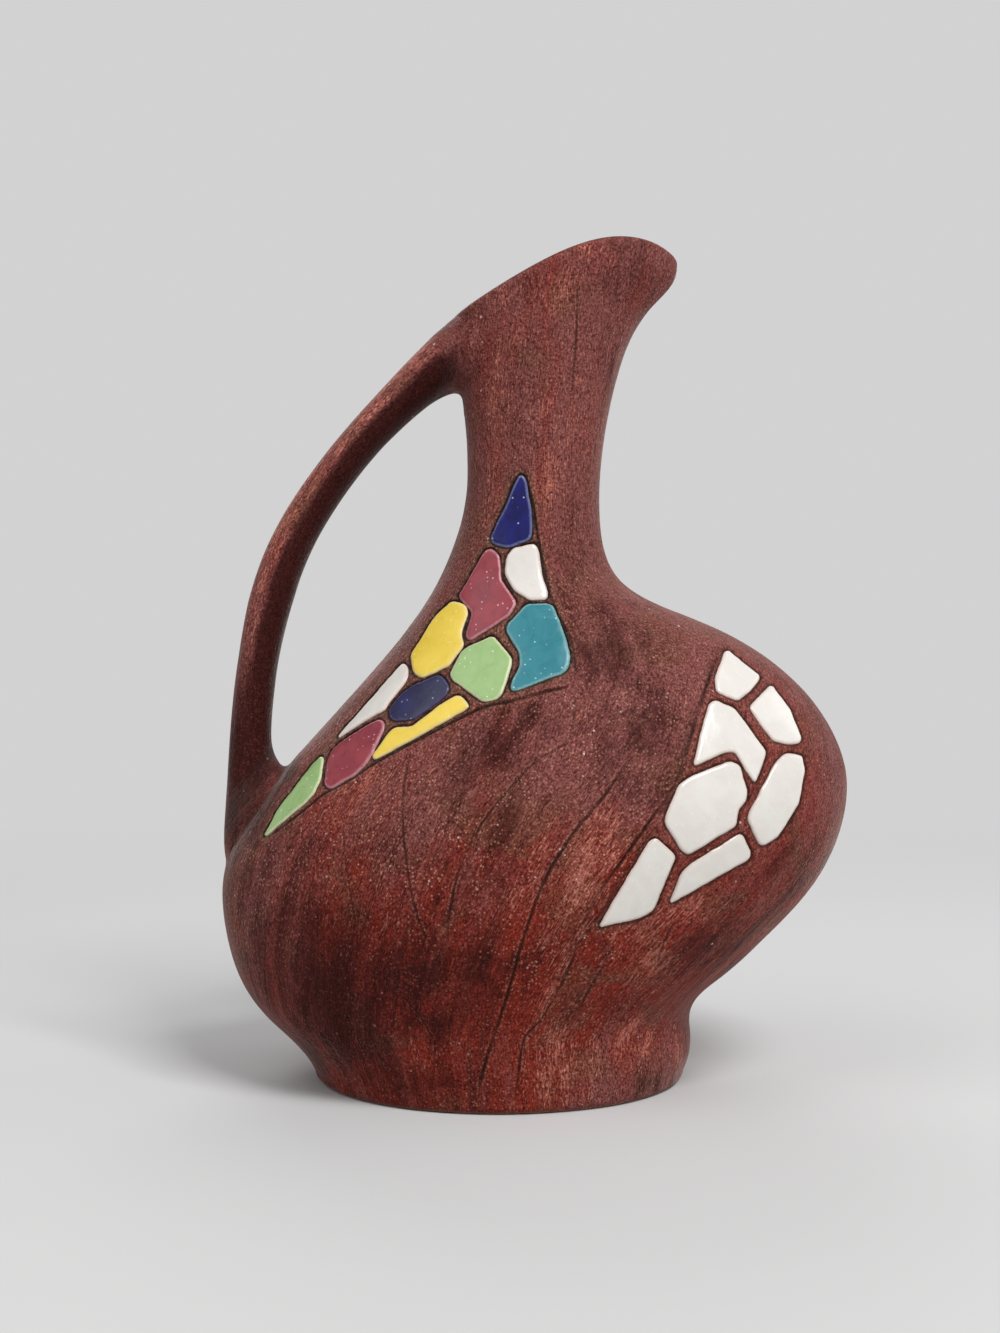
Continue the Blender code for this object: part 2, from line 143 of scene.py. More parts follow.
# In pixels of the frame: the fields' round corners and hand-cut edges, and the grid of points within
FIELD_CORNER = 4.0
CUT_SPACING = 1.5
CUT_GROWTH = 0.8
CUT_WOBBLE = 0.6
FIELD_GRID = 3.4

# How strong the white panel's outlines are, where the coloured panel's are 1
OUTLINE_WHITE = 0.8

# The shares between which the hand-made waviness dies away towards the lip, and the lip's dark line
CALM_SHARES = (0.985, 0.955)
LIP_DARK = 0.5

# The body's middle line, which the brush follows: height, middle and half width
MIDDLE_LINE = [
    (0.0, -10.0, 54.0),
    (20.0, -17.0, 63.0),
    (40.0, -12.0, 79.0),
    (60.0, -4.0, 88.0),
    (80.0, 4.0, 88.0),
    (95.0, 10.0, 81.0),
    (110.0, 13.0, 71.0),
    (125.0, 13.0, 57.0),
    (140.0, 7.0, 39.0),
    (155.0, 0.0, 24.0),
    (175.0, 0.0, 20.0),
    (200.0, 1.5, 22.0),
    (225.0, 6.0, 30.0),
    (250.0, 10.0, 34.0),
]

# Incised lines: how strongly each is cut, and the points in the frame that it runs through
LINES = [
    (0.8, "351,786 344,810 344,846 351,898 358,933"),
    (1.0, "412,744 403,796 405,853 417,916 435,954"),
    (1.0, "575,690 574,716 568,740 537,761 509,789 481,825 460,867 449,916 447,947"),
    (1.2, "634,754 600,801 575,831 545,880 523,940 507,996 484,1067 477,1098"),
    (1.1, "579,944 563,981 542,1018 524,1040 518,1077 514,1104"),
    (1.0, "618,934 600,971 583,1001 579,1019"),
    (1.0, "677,917 662,948 654,979"),
    (0.7, "553,1073 552,1104"),
    (0.8, "396,990 418,1014 433,1040 435,1052 432,1090"),
    (0.7, "340,996 354,1032 375,1070"),
    (0.7, "268,905 265,970 270,1007 275,1025"),
    (0.6, "242,897 236,929 237,958"),
    (0.6, "294,870 289,890"),
    (0.4, "461,726 463,760 463,796"),
    (0.9, "578,276 576,338 571,407"),
    (0.6, "531,283 530,300"),
    (0.8, "517,451 521,462"),
    (0.8, "535,482 543,496 552,510"),
    (0.6, "486,493 486,527"),
    (0.6, "470,574 453,594"),
    (0.6, "662,616 667,635 662,648 666,665 662,683"),
    (1.25, "719,650 700,706 681,770 668,796 648,824 600,893 577,935"),
    (0.5, "593,1022 600,1040 612,1054"),
    (0.4, "673,1008 659,1022"),
    (0.4, "686,1040 687,1056"),
    (1.3, "521,461 527,484 533,506 538.5,541 544.5,569 551,597 559,616 570,638 574,656 576,684"),
    (1.5, "576,685 540,693 512,701 490,705 471,712.5 430,733.5 374,763.5 350,779.5 325,793 306,808 "
     "284,825.5 258,845"),
    (0.3, "834,856 800,905 756,950 716,985 700,1003"),
    (0.3, "822,858 790,905 745,950 704,990"),
    (0.2, "812,862 775,908 735,945 702,976"),
    (0.3, "700,925 655,965 612,1000"),
]

# The rough dark scrape down the left side of the white panel
BANDS = [
    (0.5, "724,645 711,668 705,690 699,706 690,730 684,752 680,772 668,800 660,822"),
    (0.6, "664,826 652,832 640,852 622,880 606,905 590,932"),
]

# The corners in the frame of each glaze field's edge, in the coloured panel and in the white one
COLOURED_PANEL = {
    "cobalt_apex": "518.5,476 523,475.5 526,483 530.5,508 532,535 529,539.5 507,547.5 491,542 "
    "490.5,537 504,510",
    "white_neck": "506.5,557 514,548 535,544 538.5,551 541.5,574 547.5,593 546.5,598.5 529,599 "
    "513.5,589 505,574",
    "plum_upper": "485,550 491,548.5 499,556 500,579 516,602.5 509,615 469,640 465,635 472.5,611 "
    "458,596 466,583",
    "yellow_upper": "451,601 464,604.5 467,613 459.5,633 463,644 448,665 421,677 413,672 "
    "409.5,655 419,640 432,619",
    "green_middle": "493,636 511,658 510.5,664 502,692 495.5,699 483,701 452,679 449.5,673.5 "
    "461,651.5 468,646",
    "teal_corner": "527,604 548.5,603 553,606 565,637 569.5,654 568,667 562,672.5 515.5,690 "
    "510.5,689.5 511.5,682 520.5,665 519.5,652 506.5,630 508,624",
    "navy_middle": "437,675 442,676 449,686.5 446,694 430,706 413.5,718 393,720.5 389,715.5 "
    "389,709.5 401,693.5 413.5,684.5",
    "yellow_strip": "456,695 461,696 468.5,705 467,707.5 429,729 373,759.5 372,755 389,732 "
    "394,727.5 411,726.5 424,717.5 440,704.5",
    "white_strip": "403,661.5 407,669 406,677.5 401,686 386,703.5 384.5,709 362.5,720.5 336,738",
    "plum_lower": "379,718.5 383.5,722 383,729 371.5,752.5 365,763 352,775.5 329,788 323.5,784 "
    "327,761 333,748 352,734",
    "green_tip": "321,755.5 323,759 319,778 312.5,793 305,801 282,820 262.5,837 277.5,809 300,780 312,764",
}
WHITE_PANEL = {
    "white_top": "727,649 761,676 752,689 738,700 717,691 716,677",
    "white_right": "772,684 791,710 802,738 801,742 791,744 774,740 750,706.5",
    "white_hook": "716,700 735.5,709 767,752 756,783 735.5,751 727,751 694,766 701,736 710,703.5",
    "white_low_right": "786.5,753.5 803,755.5 805,773 799,803.5 778,838 762,846 758,840 749,820 "
    "752,810 778,761",
    "white_middle": "731,761 740,765 748,791 746,801 738,810 736.5,826 689,854.5 682,850 666,824 "
    "666,818 680,785 691,777",
    "white_tip": "656,838 676,856.5 654,910 642,918 599,928 650,842",
    "white_low": "742,834 751,852 750,859 670,904.5 682,875 691,865",
}

# Brush strokes of slip and of painted light and shade: strength (dark is negative), centre, length and width
# in pixels, lean in degrees
SLIP_LIGHT_AND_SHADE_STROKES = [
    # Bright: slip, and painted light on the neck's left and along the lip's right edge
    (0.9, 560, 292, 46, 26, 20), (0.8, 554, 440, 110, 38, 5), (0.4, 490, 305, 40, 30, 0),
    (1.2, 546, 482, 50, 24, 0), (0.8, 590, 250, 60, 14, -60), (0.4, 494, 400, 260, 34, 2),
    (0.3, 700, 690, 70, 34, 10), (0.3, 430, 800, 90, 24, 0), (0.4, 385, 920, 110, 46, -10),
    (0.6, 528, 880, 110, 30, 20), (0.4, 548, 1000, 150, 22, 15), (0.9, 418, 1050, 40, 22, -10),
    (1.0, 592, 862, 120, 48, 25), (0.4, 335, 918, 110, 70, 0), (0.3, 338, 798, 80, 60, 0),
    (0.2, 770, 900, 110, 24, 50), (0.6, 650, 945, 90, 60, 20), (0.6, 698, 908, 50, 50, 30),
    (0.5, 360, 785, 110, 60, 15), (0.5, 580, 715, 60, 34, 10), (0.9, 562, 1064, 70, 80, 0),
    (0.6, 625, 1056, 40, 40, 0), (0.5, 792, 905, 200, 8, 45), (0.6, 752, 942, 150, 7, 48),
    (1.1, 682, 900, 50, 60, 40), (2.2, 628, 1032, 34, 9, 40), (2.2, 648, 1042, 28, 9, 20),
    (0.8, 248, 797, 34, 18, 20), (0.5, 668, 290, 60, 8, 35), (0.4, 655, 300, 60, 6, 30),
    (0.6, 676, 1052, 50, 16, -10), (0.6, 562, 1088, 20, 50, 0),
    # Dark: slip, and painted shade low on the left, at the handle's root and crook, on the neck's right edge
    # and in the lip's hollow
    (-0.35, 638, 262, 70, 64, 20), (-0.5, 462, 762, 80, 40, 20), (-0.4, 535, 802, 90, 30, 20),
    (-0.4, 502, 872, 90, 50, 15), (-0.4, 465, 1020, 70, 80, 0), (-0.4, 655, 1084, 40, 50, 0),
    (-0.45, 535, 722, 40, 130, 0), (-0.6, 774, 908, 220, 9, 45), (-0.5, 738, 962, 120, 9, 48),
    (-0.5, 806, 880, 150, 7, 42), (-0.5, 612, 762, 80, 40, 20), (-0.6, 642, 730, 90, 60, 20),
    (-0.3, 655, 685, 50, 90, 0), (-0.45, 604, 712, 60, 80, 0), (-0.5, 632, 788, 60, 80, 20),
    (-0.5, 512, 825, 100, 50, 20), (-0.4, 790, 865, 110, 50, 30), (-0.5, 455, 900, 90, 50, 10),
    (-0.7, 498, 748, 60, 60, 30), (-0.65, 608, 650, 90, 76, 0), (-0.35, 612, 370, 120, 24, 0),
    (-0.8, 335, 985, 210, 200, -30), (-0.8, 415, 980, 110, 100, -20), (-0.9, 234, 812, 110, 26, 0),
    (-1.0, 284, 768, 46, 34, 0), (-0.4, 300, 1050, 120, 90, -40), (-0.6, 476, 985, 140, 80, 10),
    (-0.7, 425, 1025, 60, 100, 0), (-0.5, 450, 975, 150, 50, 5), (-0.35, 290, 880, 120, 70, 0),
    (-0.4, 250, 900, 200, 50, 0), (-0.55, 700, 950, 90, 36, 50), (-0.5, 400, 1084, 60, 240, 0),
    (-0.4, 452, 392, 46, 20, 40), (-1.0, 250, 805, 90, 44, 0), (-1.1, 248, 745, 190, 80, 0),
    (-0.3, 262, 640, 120, 40, 8),
]

# The strokes on the back, as seen through the ewer from the front
BACK_STROKES = [
    (0.7, 560, 300, 130, 24, 8), (0.6, 510, 420, 150, 20, 5), (0.6, 600, 620, 110, 46, 35),
    (0.7, 470, 700, 180, 40, -25), (0.6, 720, 720, 150, 50, 30), (0.7, 560, 880, 200, 44, 10),
    (0.6, 380, 900, 170, 40, -15), (0.8, 640, 1030, 90, 30, 25), (0.7, 450, 1050, 80, 36, -10),
    (-0.5, 540, 520, 160, 40, 0), (-0.6, 640, 800, 200, 90, 25), (-0.65, 310, 960, 190, 110, -25),
    (-0.5, 470, 960, 150, 60, 0), (-0.6, 740, 930, 130, 50, 45), (-0.6, 400, 780, 140, 50, -30),
    (-0.5, 520, 1085, 70, 300, 0),
]

# How far the brush leans to the right on the belly, up to the height where it stands upright
BRUSH_LEAN = 0.45
UPRIGHT = 140.0

# Where the slip turns redder or browner: how much redder, the place and the radius
WARM_SPOTS = [
    (-0.75, (28.0, -50.0, 102.0), 34.0),
    (-0.5, (32.0, -40.0, 128.0), 26.0),
    (-0.5, (24.0, -38.0, 8.0), 26.0),
    (-0.45, (-38.0, -50.0, 92.0), 32.0),
    (-0.45, (-82.0, -20.0, 60.0), 40.0),
    (0.35, (1.0, -52.0, 42.0), 30.0),
    (0.4, (-9.0, -55.0, 76.0), 14.0),
]

# Colours as on a screen, 0 to 255
SLIP_COOL = (118, 65, 61)
SLIP_WARM = (120, 39, 28)
SLIP_OLIVE = (104, 62, 48)
# The dark slip also serves as painted shade, and the worn slip as painted light
SLIP_DARK_AND_SHADE = (52, 15, 12)
SLIP_WORN_AND_LIT = (164, 97, 84)
BURR = (176, 112, 92)
SAND = (188, 134, 114)
SPECK_PALE = (226, 198, 186)
RIDGE = (106, 68, 56)
RIDGE_RED = (114, 52, 42)
GROOVE = (32, 18, 13)
RAW = (150, 98, 78)
SHEEN = (222, 214, 207)
INSIDE_DARK = (46, 20, 16)
INSIDE_LIGHT = (88, 40, 30)
BACKGROUND = (210, 210, 210)
FLOOR_COLOUR = (206, 206, 206)

# Each glaze: its roughness, its colour, the darker one it pools to, its rim and its specks
GLAZES = {
    "cobalt": (0.26, (20, 24, 108), (14, 16, 82), (112, 116, 158), (196, 200, 226)),
    "navy": (0.26, (28, 28, 82), (20, 20, 62), (80, 78, 112), (176, 180, 206)),
    "white": (0.12, (227, 223, 217), (222, 217, 210), (220, 200, 190), (236, 232, 228)),
    "plum": (0.26, (150, 56, 67), (130, 44, 56), (194, 132, 138), (226, 176, 180)),
    "yellow": (0.26, (238, 208, 82), (232, 200, 72), (228, 208, 150), (250, 238, 170)),
    "green": (0.26, (156, 188, 126), (146, 180, 114), (212, 214, 174), (220, 236, 200)),
    "teal": (0.26, (50, 130, 143), (42, 120, 133), (130, 176, 178), (190, 224, 226)),
}

# The stage: the light on everything, and the floor's radius, sides and the reach of its fading
FILL_STRENGTH = 0.30
FLOOR_RADIUS = 30000.0
FLOOR_SIDES = 96
FLOOR_FADE = (260.0, 900.0)

# The lamps, in metres and watts: where all of them aim, and each one's place, size and power
AIM = (0.0, 0.0, 0.12)
LAMPS = [
    ("key", (0.53, -0.78, 1.25), (0.6, 0.6), 17.5),
    ("fill", (-0.85, -0.6, 1.3), (0.9, 0.9), 4.5),
    ("back", (-0.2, 1.3, 1.0), (1.2, 0.8), 8.0),
    ("rim", (1.2, 0.35, 0.5), (0.5, 0.9), 2.0),
]


def unit(vectors):
    return vectors / np.linalg.norm(vectors, axis=1)[:, None]


def crossed(a, b):
    """The signed area between pairs of flat vectors."""
    return a[:, 0] * b[:, 1] - a[:, 1] * b[:, 0]


def smooth_step(start, end, value):
    """From 0 to 1 as the value goes from start to end, which may be below start."""
    share = np.clip((value - start) / (end - start), 0.0, 1.0)
    return share * share * (3.0 - 2.0 * share)


def waves(points, scale):
    """Smooth noise at points, about zero, with waves about one over scale long."""
    return np.array([noise.noise(p * scale) for p in map(Vector, points)])


def unevenness(points):
    """A hand-made waviness at points of the clay, in millimetres outwards."""
    return 0.16 * waves(points, 0.045) + 0.05 * waves(points, 0.15)


def run_along(points):
    """How far along a polyline each of its points lies."""
    return np.concatenate([[0.0], np.cumsum(np.linalg.norm(np.diff(points, axis=0), axis=1))])


def full_turn(sides):
    """Even angles all the way round, from -pi on."""
    return np.linspace(-np.pi, np.pi, sides + 1)[:-1]


def level(share, angles):
    """The places at one share and some angles."""
    return np.stack([np.full(len(angles), share), angles], axis=1)


def tree_of(points):
    tree = KDTree(len(points))
    for i, point in enumerate(points):
        tree.insert(point, i)
    tree.balance()
    return tree


def in_frame(points):
    """Where points appear in the photograph's frame, in pixels from its top left corner."""
    depth = points[:, 1] - CAMERA[1]
    right = FOCAL * (points[:, 0] - CAMERA[0]) / depth
    down = FOCAL * (CAMERA[2] - points[:, 2]) / depth
    return FRAME_CENTRE + np.stack([right, down], axis=1)


class Loft:
    """Oval sections between two rails, joined by a natural cubic spline from share 0 to share 1."""

    def __init__(self, sections):
        self.rows = np.array(sections)
        along = run_along(self.rows[:, :4])
        self.knots = along / along[-1]
        gaps = np.diff(self.knots)
        slopes = np.diff(self.rows, axis=0) / gaps[:, None]
        system = np.eye(len(self.rows))
        target = np.zeros_like(self.rows)
        for i in range(1, len(gaps)):
            system[i, i - 1 : i + 2] = gaps[i - 1], 2.0 * (gaps[i - 1] + gaps[i]), gaps[i]
            target[i] = 6.0 * (slopes[i] - slopes[i - 1])
        self.bends = np.linalg.solve(system, target)

    def section(self, share):
        """The sections' numbers at an array of shares."""
        i = np.clip(np.searchsorted(self.knots, share) - 1, 0, len(self.rows) - 2)
        gap = self.knots[i + 1] - self.knots[i]
        a = ((self.knots[i + 1] - share) / gap)[:, None]
        b = 1.0 - a
        bend = (a**3 - a) * self.bends[i] + (b**3 - b) * self.bends[i + 1]
        return a * self.rows[i] + b * self.rows[i + 1] + bend * (gap * gap)[:, None] / 6.0

    def points(self, at):
        """Points at places. Angle 0 is the right rail, and the front lies between -pi and 0."""
        left_x, left_z, right_x, right_z, depth, pinch, crown = self.section(at[:, 0]).T
        cosine, sine = np.cos(at[:, 1]), np.sin(at[:, 1])
        x = (left_x + right_x) / 2 + (right_x - left_x) / 2 * cosine
        z = (left_z + right_z) / 2 + (right_z - left_z) / 2 * cosine
        rise = crown * sine**2 * (1.0 + CROWN_LEAN * cosine)
        return np.stack([x, depth * sine * (1.0 - pinch * cosine), z + rise], axis=1)

    def slopes(self, at):
        """How a point moves as its share, and as its angle, grows by one."""
        step = 1e-4
        low, high = (np.column_stack([np.clip(at[:, 0] + s, 0.0, 1.0), at[:, 1]]) for s in (-step, step))
        up = (self.points(high) - self.points(low)) / (high - low)[:, :1]
        around = (self.points(at + (0.0, step)) - self.points(at - (0.0, step))) / (2 * step)
        return up, around

    def normals(self, at):
        up, around = self.slopes(at)
        return unit(np.cross(around, up))

    def under(self, at, depth):
        """Points a depth under the surface."""
        return self.points(at) - self.normals(at) * depth

    def moved(self, at, offset):
        """The places after a small move along the surface, in millimetres."""
        up, around = self.slopes(at)
        a, b, c = (up * up).sum(1), (up * around).sum(1), (around * around).sum(1)
        d, e = (up * offset).sum(1), (around * offset).sum(1)
        return at + np.stack([c * d - b * e, a * e - b * d], axis=1) / (a * c - b * b)[:, None]

    def share_at_height(self, height):
        """Where the left rail reaches a height, for the level sections near the foot."""
        low, high = 0.0, 0.5
        for _ in range(40):
            middle = (low + high) / 2
            below = self.section(np.array([middle]))[0, 1] < height
            low, high = (middle, high) if below else (low, middle)
        return low


class Front:
    """The front half of the body: finds places on it, and lays it out flat for meshing."""

    # The longest step in a search for a place, and how near to the front's borders it may come
    LONGEST = (0.02, 0.1)
    LEAST = (0.002, -np.pi + 0.02)
    MOST = (0.998, -0.02)

    def __init__(self, loft):
        self.loft = loft
        self.shares = np.linspace(0.0, 1.0, 301)
        self.angles = np.linspace(-np.pi, 0.0, 181)
        self.guess_at = np.concatenate([level(share, self.angles) for share in self.shares])
        points = loft.points(self.guess_at)
        grid = points.reshape(len(self.shares), len(self.angles), 3)
        arcs = np.array([run_along(row) for row in grid])
        self.across = arcs - arcs[:, len(self.angles) // 2][:, None]
        climbs = np.linalg.norm(np.diff(grid, axis=0), axis=2).mean(axis=1)
        self.along = np.concatenate([[0.0], np.cumsum(climbs)])
        self.guesses = tree_of(np.pad(in_frame(points), ((0, 0), (0, 1))))

    def flat(self, at):
        """Millimetres across and along the front, from its middle line and its foot."""
        rows, columns = len(self.shares) - 1, len(self.angles) - 1
        i = np.clip(at[:, 0] * rows, 0, rows - 0.001)
        j = np.clip((at[:, 1] / np.pi + 1.0) * columns, 0, columns - 0.001)
        row, column = i.astype(int), j.astype(int)
        a, b = i - row, j - column
        low, high = (
            self.across[k, column] * (1 - b) + self.across[k, column + 1] * b for k in (row, row + 1)
        )
        return np.stack([low * (1 - a) + high * a, np.interp(at[:, 0], self.shares, self.along)], axis=1)

    def find(self, pixels):
        """The places that appear at some pixels of the frame."""
        at = self.guess_at[[self.guesses.find((x, y, 0.0))[1] for x, y in pixels]]
        step = 1e-5
        for _ in range(12):
            here = in_frame(self.loft.points(at))
            up = (in_frame(self.loft.points(at + (step, 0.0))) - here) / step
            around = (in_frame(self.loft.points(at + (0.0, step))) - here) / step
            area = crossed(up, around)
            area = np.where(np.abs(area) < 1.0, 1.0, area)
            miss = pixels - here
            move = np.stack([crossed(miss, around), crossed(up, miss)], axis=1) / area[:, None]
            at = np.clip(at + np.clip(move, np.negative(self.LONGEST), self.LONGEST), self.LEAST, self.MOST)
        return at


class Marks:
    """The dense points of incised lines or of fields' edges, with the direction across each."""

    def __init__(self, front, curves, closed=False):
        rows = []
        for number, (strength, pixels) in enumerate(curves):
            at = front.find(spaced(pixels, MARK_SPACING / PIXEL, closed))
            points, normals = front.loft.points(at), front.loft.normals(at)
            if closed:
                side = turned_out(unit(np.cross(chords(points), normals)), points)
            else:
                side = unit(np.cross(np.gradient(points, axis=0), normals))
            count = np.arange(len(at))
            end = np.minimum(count, count[::-1]) * MARK_SPACING
            same = np.ones(len(at))
            rows.append(np.column_stack([at, side, same * strength, end, same * number]))
        table = np.concatenate(rows)
        self.at, self.side = table[:, :2], table[:, 2:5]
        self.weight, self.end, self.owner = table[:, 5:].T
        self.points = front.loft.points(self.at)
        self.tree = tree_of(self.points)

    def beside(self, front, offset, keep=0.9):
        """Places at an offset to the side, and their marks' owners, but none too near another mark."""
        at = front.loft.moved(self.at, self.side * offset)
        near = np.array([self.tree.find(p)[2] for p in front.loft.points(at)])
        good = (near > abs(offset) * keep) & (at[:, 0] > 0.001) & (at[:, 0] < 0.999)
        return at[good], self.owner[good]

    def nearest(self, points):
        """For each point, the nearest mark's number and the signed distance across it."""
        _, index, distance = zip(*map(self.tree.find, points))
        index = np.array(index)
        return index, distance * np.sign(((points - self.points[index]) * self.side[index]).sum(axis=1))


def pixels_of(text):
    return np.array([[float(value) for value in pair.split(",")] for pair in text.split()])


def chords(points):
    """The direction of a closed outline at each of its points."""
    return np.roll(points, -1, axis=0) - np.roll(points, 1, axis=0)


def turned_out(across, points):
    """The directions across a closed outline, all turned to its outside."""
    return across if (across * (points - points.mean(axis=0))).sum() >= 0.0 else -across


def spaced(points, spacing, closed=False):
    """The points of a polyline again, at even spacing."""
    if closed:
        points = np.concatenate([points, points[:1]])
    length = run_along(points)
    count = max(2, int(round(length[-1] / spacing)))
    at = np.linspace(0.0, length[-1], count + 1)[: count if closed else None]
    return np.stack([np.interp(at, length, column) for column in points.T], axis=1)


def flowing(points):
    """A smooth curve through the points of an open line."""
    points = np.concatenate([[2 * points[0] - points[1]], points, [2 * points[-1] - points[-2]]])
    t = np.linspace(0.0, 1.0, 12, endpoint=False)[:, None]
    curve = []
    for a, b, c, d in zip(points, points[1:], points[2:], points[3:]):
        bend = (2 * a - 5 * b + 4 * c - d) * t**2 + (3 * b - a - 3 * c + d) * t**3
        curve.append(0.5 * (2 * b + (c - a) * t + bend))
    return np.concatenate([*curve, points[-2:-1]])


def rounded(corners, cut):
    """A closed outline whose corners are bent round, from cut before each to cut after it."""
    t = np.linspace(0.0, 1.0, 5)[:, None]
    points = []
    for before, corner, after in zip(np.roll(corners, 1, axis=0), corners, np.roll(corners, -1, axis=0)):
        sizes = [np.linalg.norm(other - corner) for other in (before, after)]
        start = corner + (before - corner) / sizes[0] * min(cut, 0.48 * sizes[0])
        end = corner + (after - corner) / sizes[1] * min(cut, 0.48 * sizes[1])
        points.append((1 - t) ** 2 * start + 2 * t * (1 - t) * corner + t**2 * end)
    return np.concatenate(points)


def hand_cut(points):
    """A closed outline a little larger, and uneven as a knife leaves it. In pixels of the frame."""
    points = spaced(points, CUT_SPACING, closed=True)
    across = turned_out(unit(chords(points)[:, ::-1] * (1.0, -1.0)), points)
    wobble = [noise.noise((x * 0.09, y * 0.09, 0.5)) for x, y in points]
    jitter = [noise.noise((x * 0.3, y * 0.3, 7.5)) for x, y in points]
    return points + across * (CUT_GROWTH + CUT_WOBBLE * (np.array(wobble) + 0.4 * np.array(jitter)))[:, None]


def thinned(points, least):
    """The numbers of the points to keep so that no two are nearer than least. Earlier ones win."""
    cells, kept = {}, []
    for i, point in enumerate(points):
        x, y, z = (int(v) for v in np.floor(point / least))
        around = ((x + a, y + b, z + c) for a in (-1, 0, 1) for b in (-1, 0, 1) for c in (-1, 0, 1))
        if all(np.dot(point - q, point - q) >= least * least for cell in around for q in cells.get(cell, ())):
            cells.setdefault((x, y, z), []).append(point)
            kept.append(i)
    return np.array(kept)


def triangles_between(flat, edge_count):
    """Delaunay triangles over flat points, of which the first edge_count bound them in order."""
    edges = [(i, (i + 1) % edge_count) for i in range(edge_count)]
    found = delaunay_2d_cdt([Vector(p) for p in flat], edges, [tuple(range(edge_count))], 1, 1e-7)
    origin = np.array([ids[0] if ids else -1 for ids in found[3]])
    triangles = origin[np.array(found[2])]
    triangles = triangles[(triangles >= 0).all(axis=1)]
    a, b, c = (flat[triangles[:, k]] for k in range(3))
    area = crossed(b - a, c - a)
    return np.where((area < 0.0)[:, None], triangles[:, ::-1], triangles)[np.abs(area) > 1e-9]


def clay_relief(lines, edges, bands, points):
    """At points of the front: how far the clay stands out, and how much it is dark mark, ridge and burr."""
    index, across = lines.nearest(points)
    weight = lines.weight[index]
    cut = (0.85 + 0.6 * waves(points, 0.09)) * weight * smooth_step(0.0, LINE_TAPER, lines.end[index])
    distance = np.abs(across) / np.clip(weight, 0.8, 1.5)
    burr = smooth_step(0.3, 0.6, distance) * smooth_step(1.1, 0.6, distance)
    lift = cut * (LINE_BURR * burr - LINE_DEPTH * smooth_step(LINE_HALF_WIDTH, 0.0, distance))
    dark = np.minimum(0.95, 0.76 * cut) * smooth_step(0.56, 0.14, distance)
    pale = np.minimum(1.0, cut) * smooth_step(0.3, 0.5, distance) * smooth_step(1.0, 0.6, distance)

    index, outside = edges.nearest(points)
    wall = smooth_step(-0.35, 0.38, outside)
    lift = lift * wall - POCKET_DEPTH * (1.0 - wall) - SHOULDER_DROP * smooth_step(1.3, 0.5, outside) * wall
    rough = waves(points, 0.5) + 0.7 * waves(points, 1.3)
    dark = np.maximum(dark, edges.weight[index] * smooth_step(0.9, 0.35, outside + 0.35 * rough))
    ridge = edges.weight[index] ** 3 * smooth_step(2.4, 1.2, outside)

    index, across = bands.nearest(points)
    band = bands.weight[index] * smooth_step(1.4, 0.4, np.abs(across) + 0.5 * rough)
    band = band * smooth_step(0.0, BAND_TAPER, bands.end[index])
    lift = lift - BAND_DEPTH * band * wall
    return lift, np.maximum(dark, 0.85 * band), ridge * (1.0 - band), pale * (1.0 - band)


def front_places(front, lines, edges, shares):
    """The front's inner places: close along the marks, even between them."""
    sides = [(edges, offset) for offset in EDGE_OFFSETS] + [(lines, offset) for offset in LINE_OFFSETS]
    at = np.concatenate([marks.beside(front, offset)[0] for marks, offset in sides])
    at = at[((at > (shares[1], -np.pi + 0.03)) & (at < (shares[-2], -0.03))).all(axis=1)]
    at = at[thinned(front.loft.points(at), MARK_LEAST)]
    marked = tree_of(front.loft.points(at))

    rows = []
    for i, share in enumerate(shares[1:-1]):
        across = front.flat(level(share, front.angles))[:, 0]
        width = across[-1] - across[0]
        count = max(8, int(width / FRONT_SPACING))
        places = across[0] + (np.arange(1, count) - (0.25 if i % 2 else -0.25)) / count * width
        rows.append(level(share, np.interp(places, across, front.angles)))
    rows = np.concatenate(rows)
    far = [marked.find(p)[2] > FRONT_SPACING * 0.55 for p in front.loft.points(rows)]
    return np.concatenate([at, rows[far]])


def level_rings(edge, insets, heights):
    """Rings drawn in from an edge towards its middle, each laid flat at its height."""
    outward = unit((edge - edge.mean(axis=0)) * (1.0, 1.0, 0.0))
    rings = [edge - outward * inset for inset in insets]
    for ring, height in zip(rings, heights):
        ring[:, 2] = height
    return rings


def underside_rings(edge):
    """From the recess under the foot, over the standing rim, to the rounded edge."""
    rim = FOOT_ROUNDING + FOOT_RIM_WIDTH
    turns = np.linspace(np.pi / 2, 0.0, 7)[:-1]
    insets = [rim + 8.0, rim + FOOT_RECESS_SLOPE + 0.8, rim + 0.8, rim + 0.1, rim - 0.6]
    heights = [FOOT_RECESS, FOOT_RECESS, 0.35, 0.06, 0.0]
    insets += list(FOOT_ROUNDING * (1.0 - np.cos(turns)))
    heights += list(FOOT_ROUNDING * (1.0 - np.sin(turns)))
    return level_rings(edge, insets, heights)


def lip_rings(loft, top, angles):
    """The rounded lip: a half circle as wide as the wall, from the top ring over to the inside."""
    at = level(1.0, angles)
    up, normal = unit(loft.slopes(at)[0]), loft.normals(at)
    radius = WALL / 2
    turns = np.linspace(0.0, np.pi, 10)[1:-1]
    return [top - normal * radius * (1.0 - np.cos(t)) + up * radius * np.sin(t) for t in turns]


def inside_rings(loft, angles, depth, top, rows=INSIDE_ROWS):
    """The inside of the wall at a depth from its outside, from a share at the top down to the floor."""
    bottom = loft.share_at_height(FLOOR + FLOOR_CORNER)
    rings = [loft.under(level(share, angles), depth) for share in np.linspace(top, bottom, rows)]
    radius = FLOOR_CORNER - (depth - WALL)
    turns = np.linspace(0.0, np.pi / 2, 6)[1:]
    heights = FLOOR + FLOOR_CORNER - radius * np.sin(turns)
    return rings + level_rings(rings[-1], radius * (1.0 - np.cos(turns)), heights)


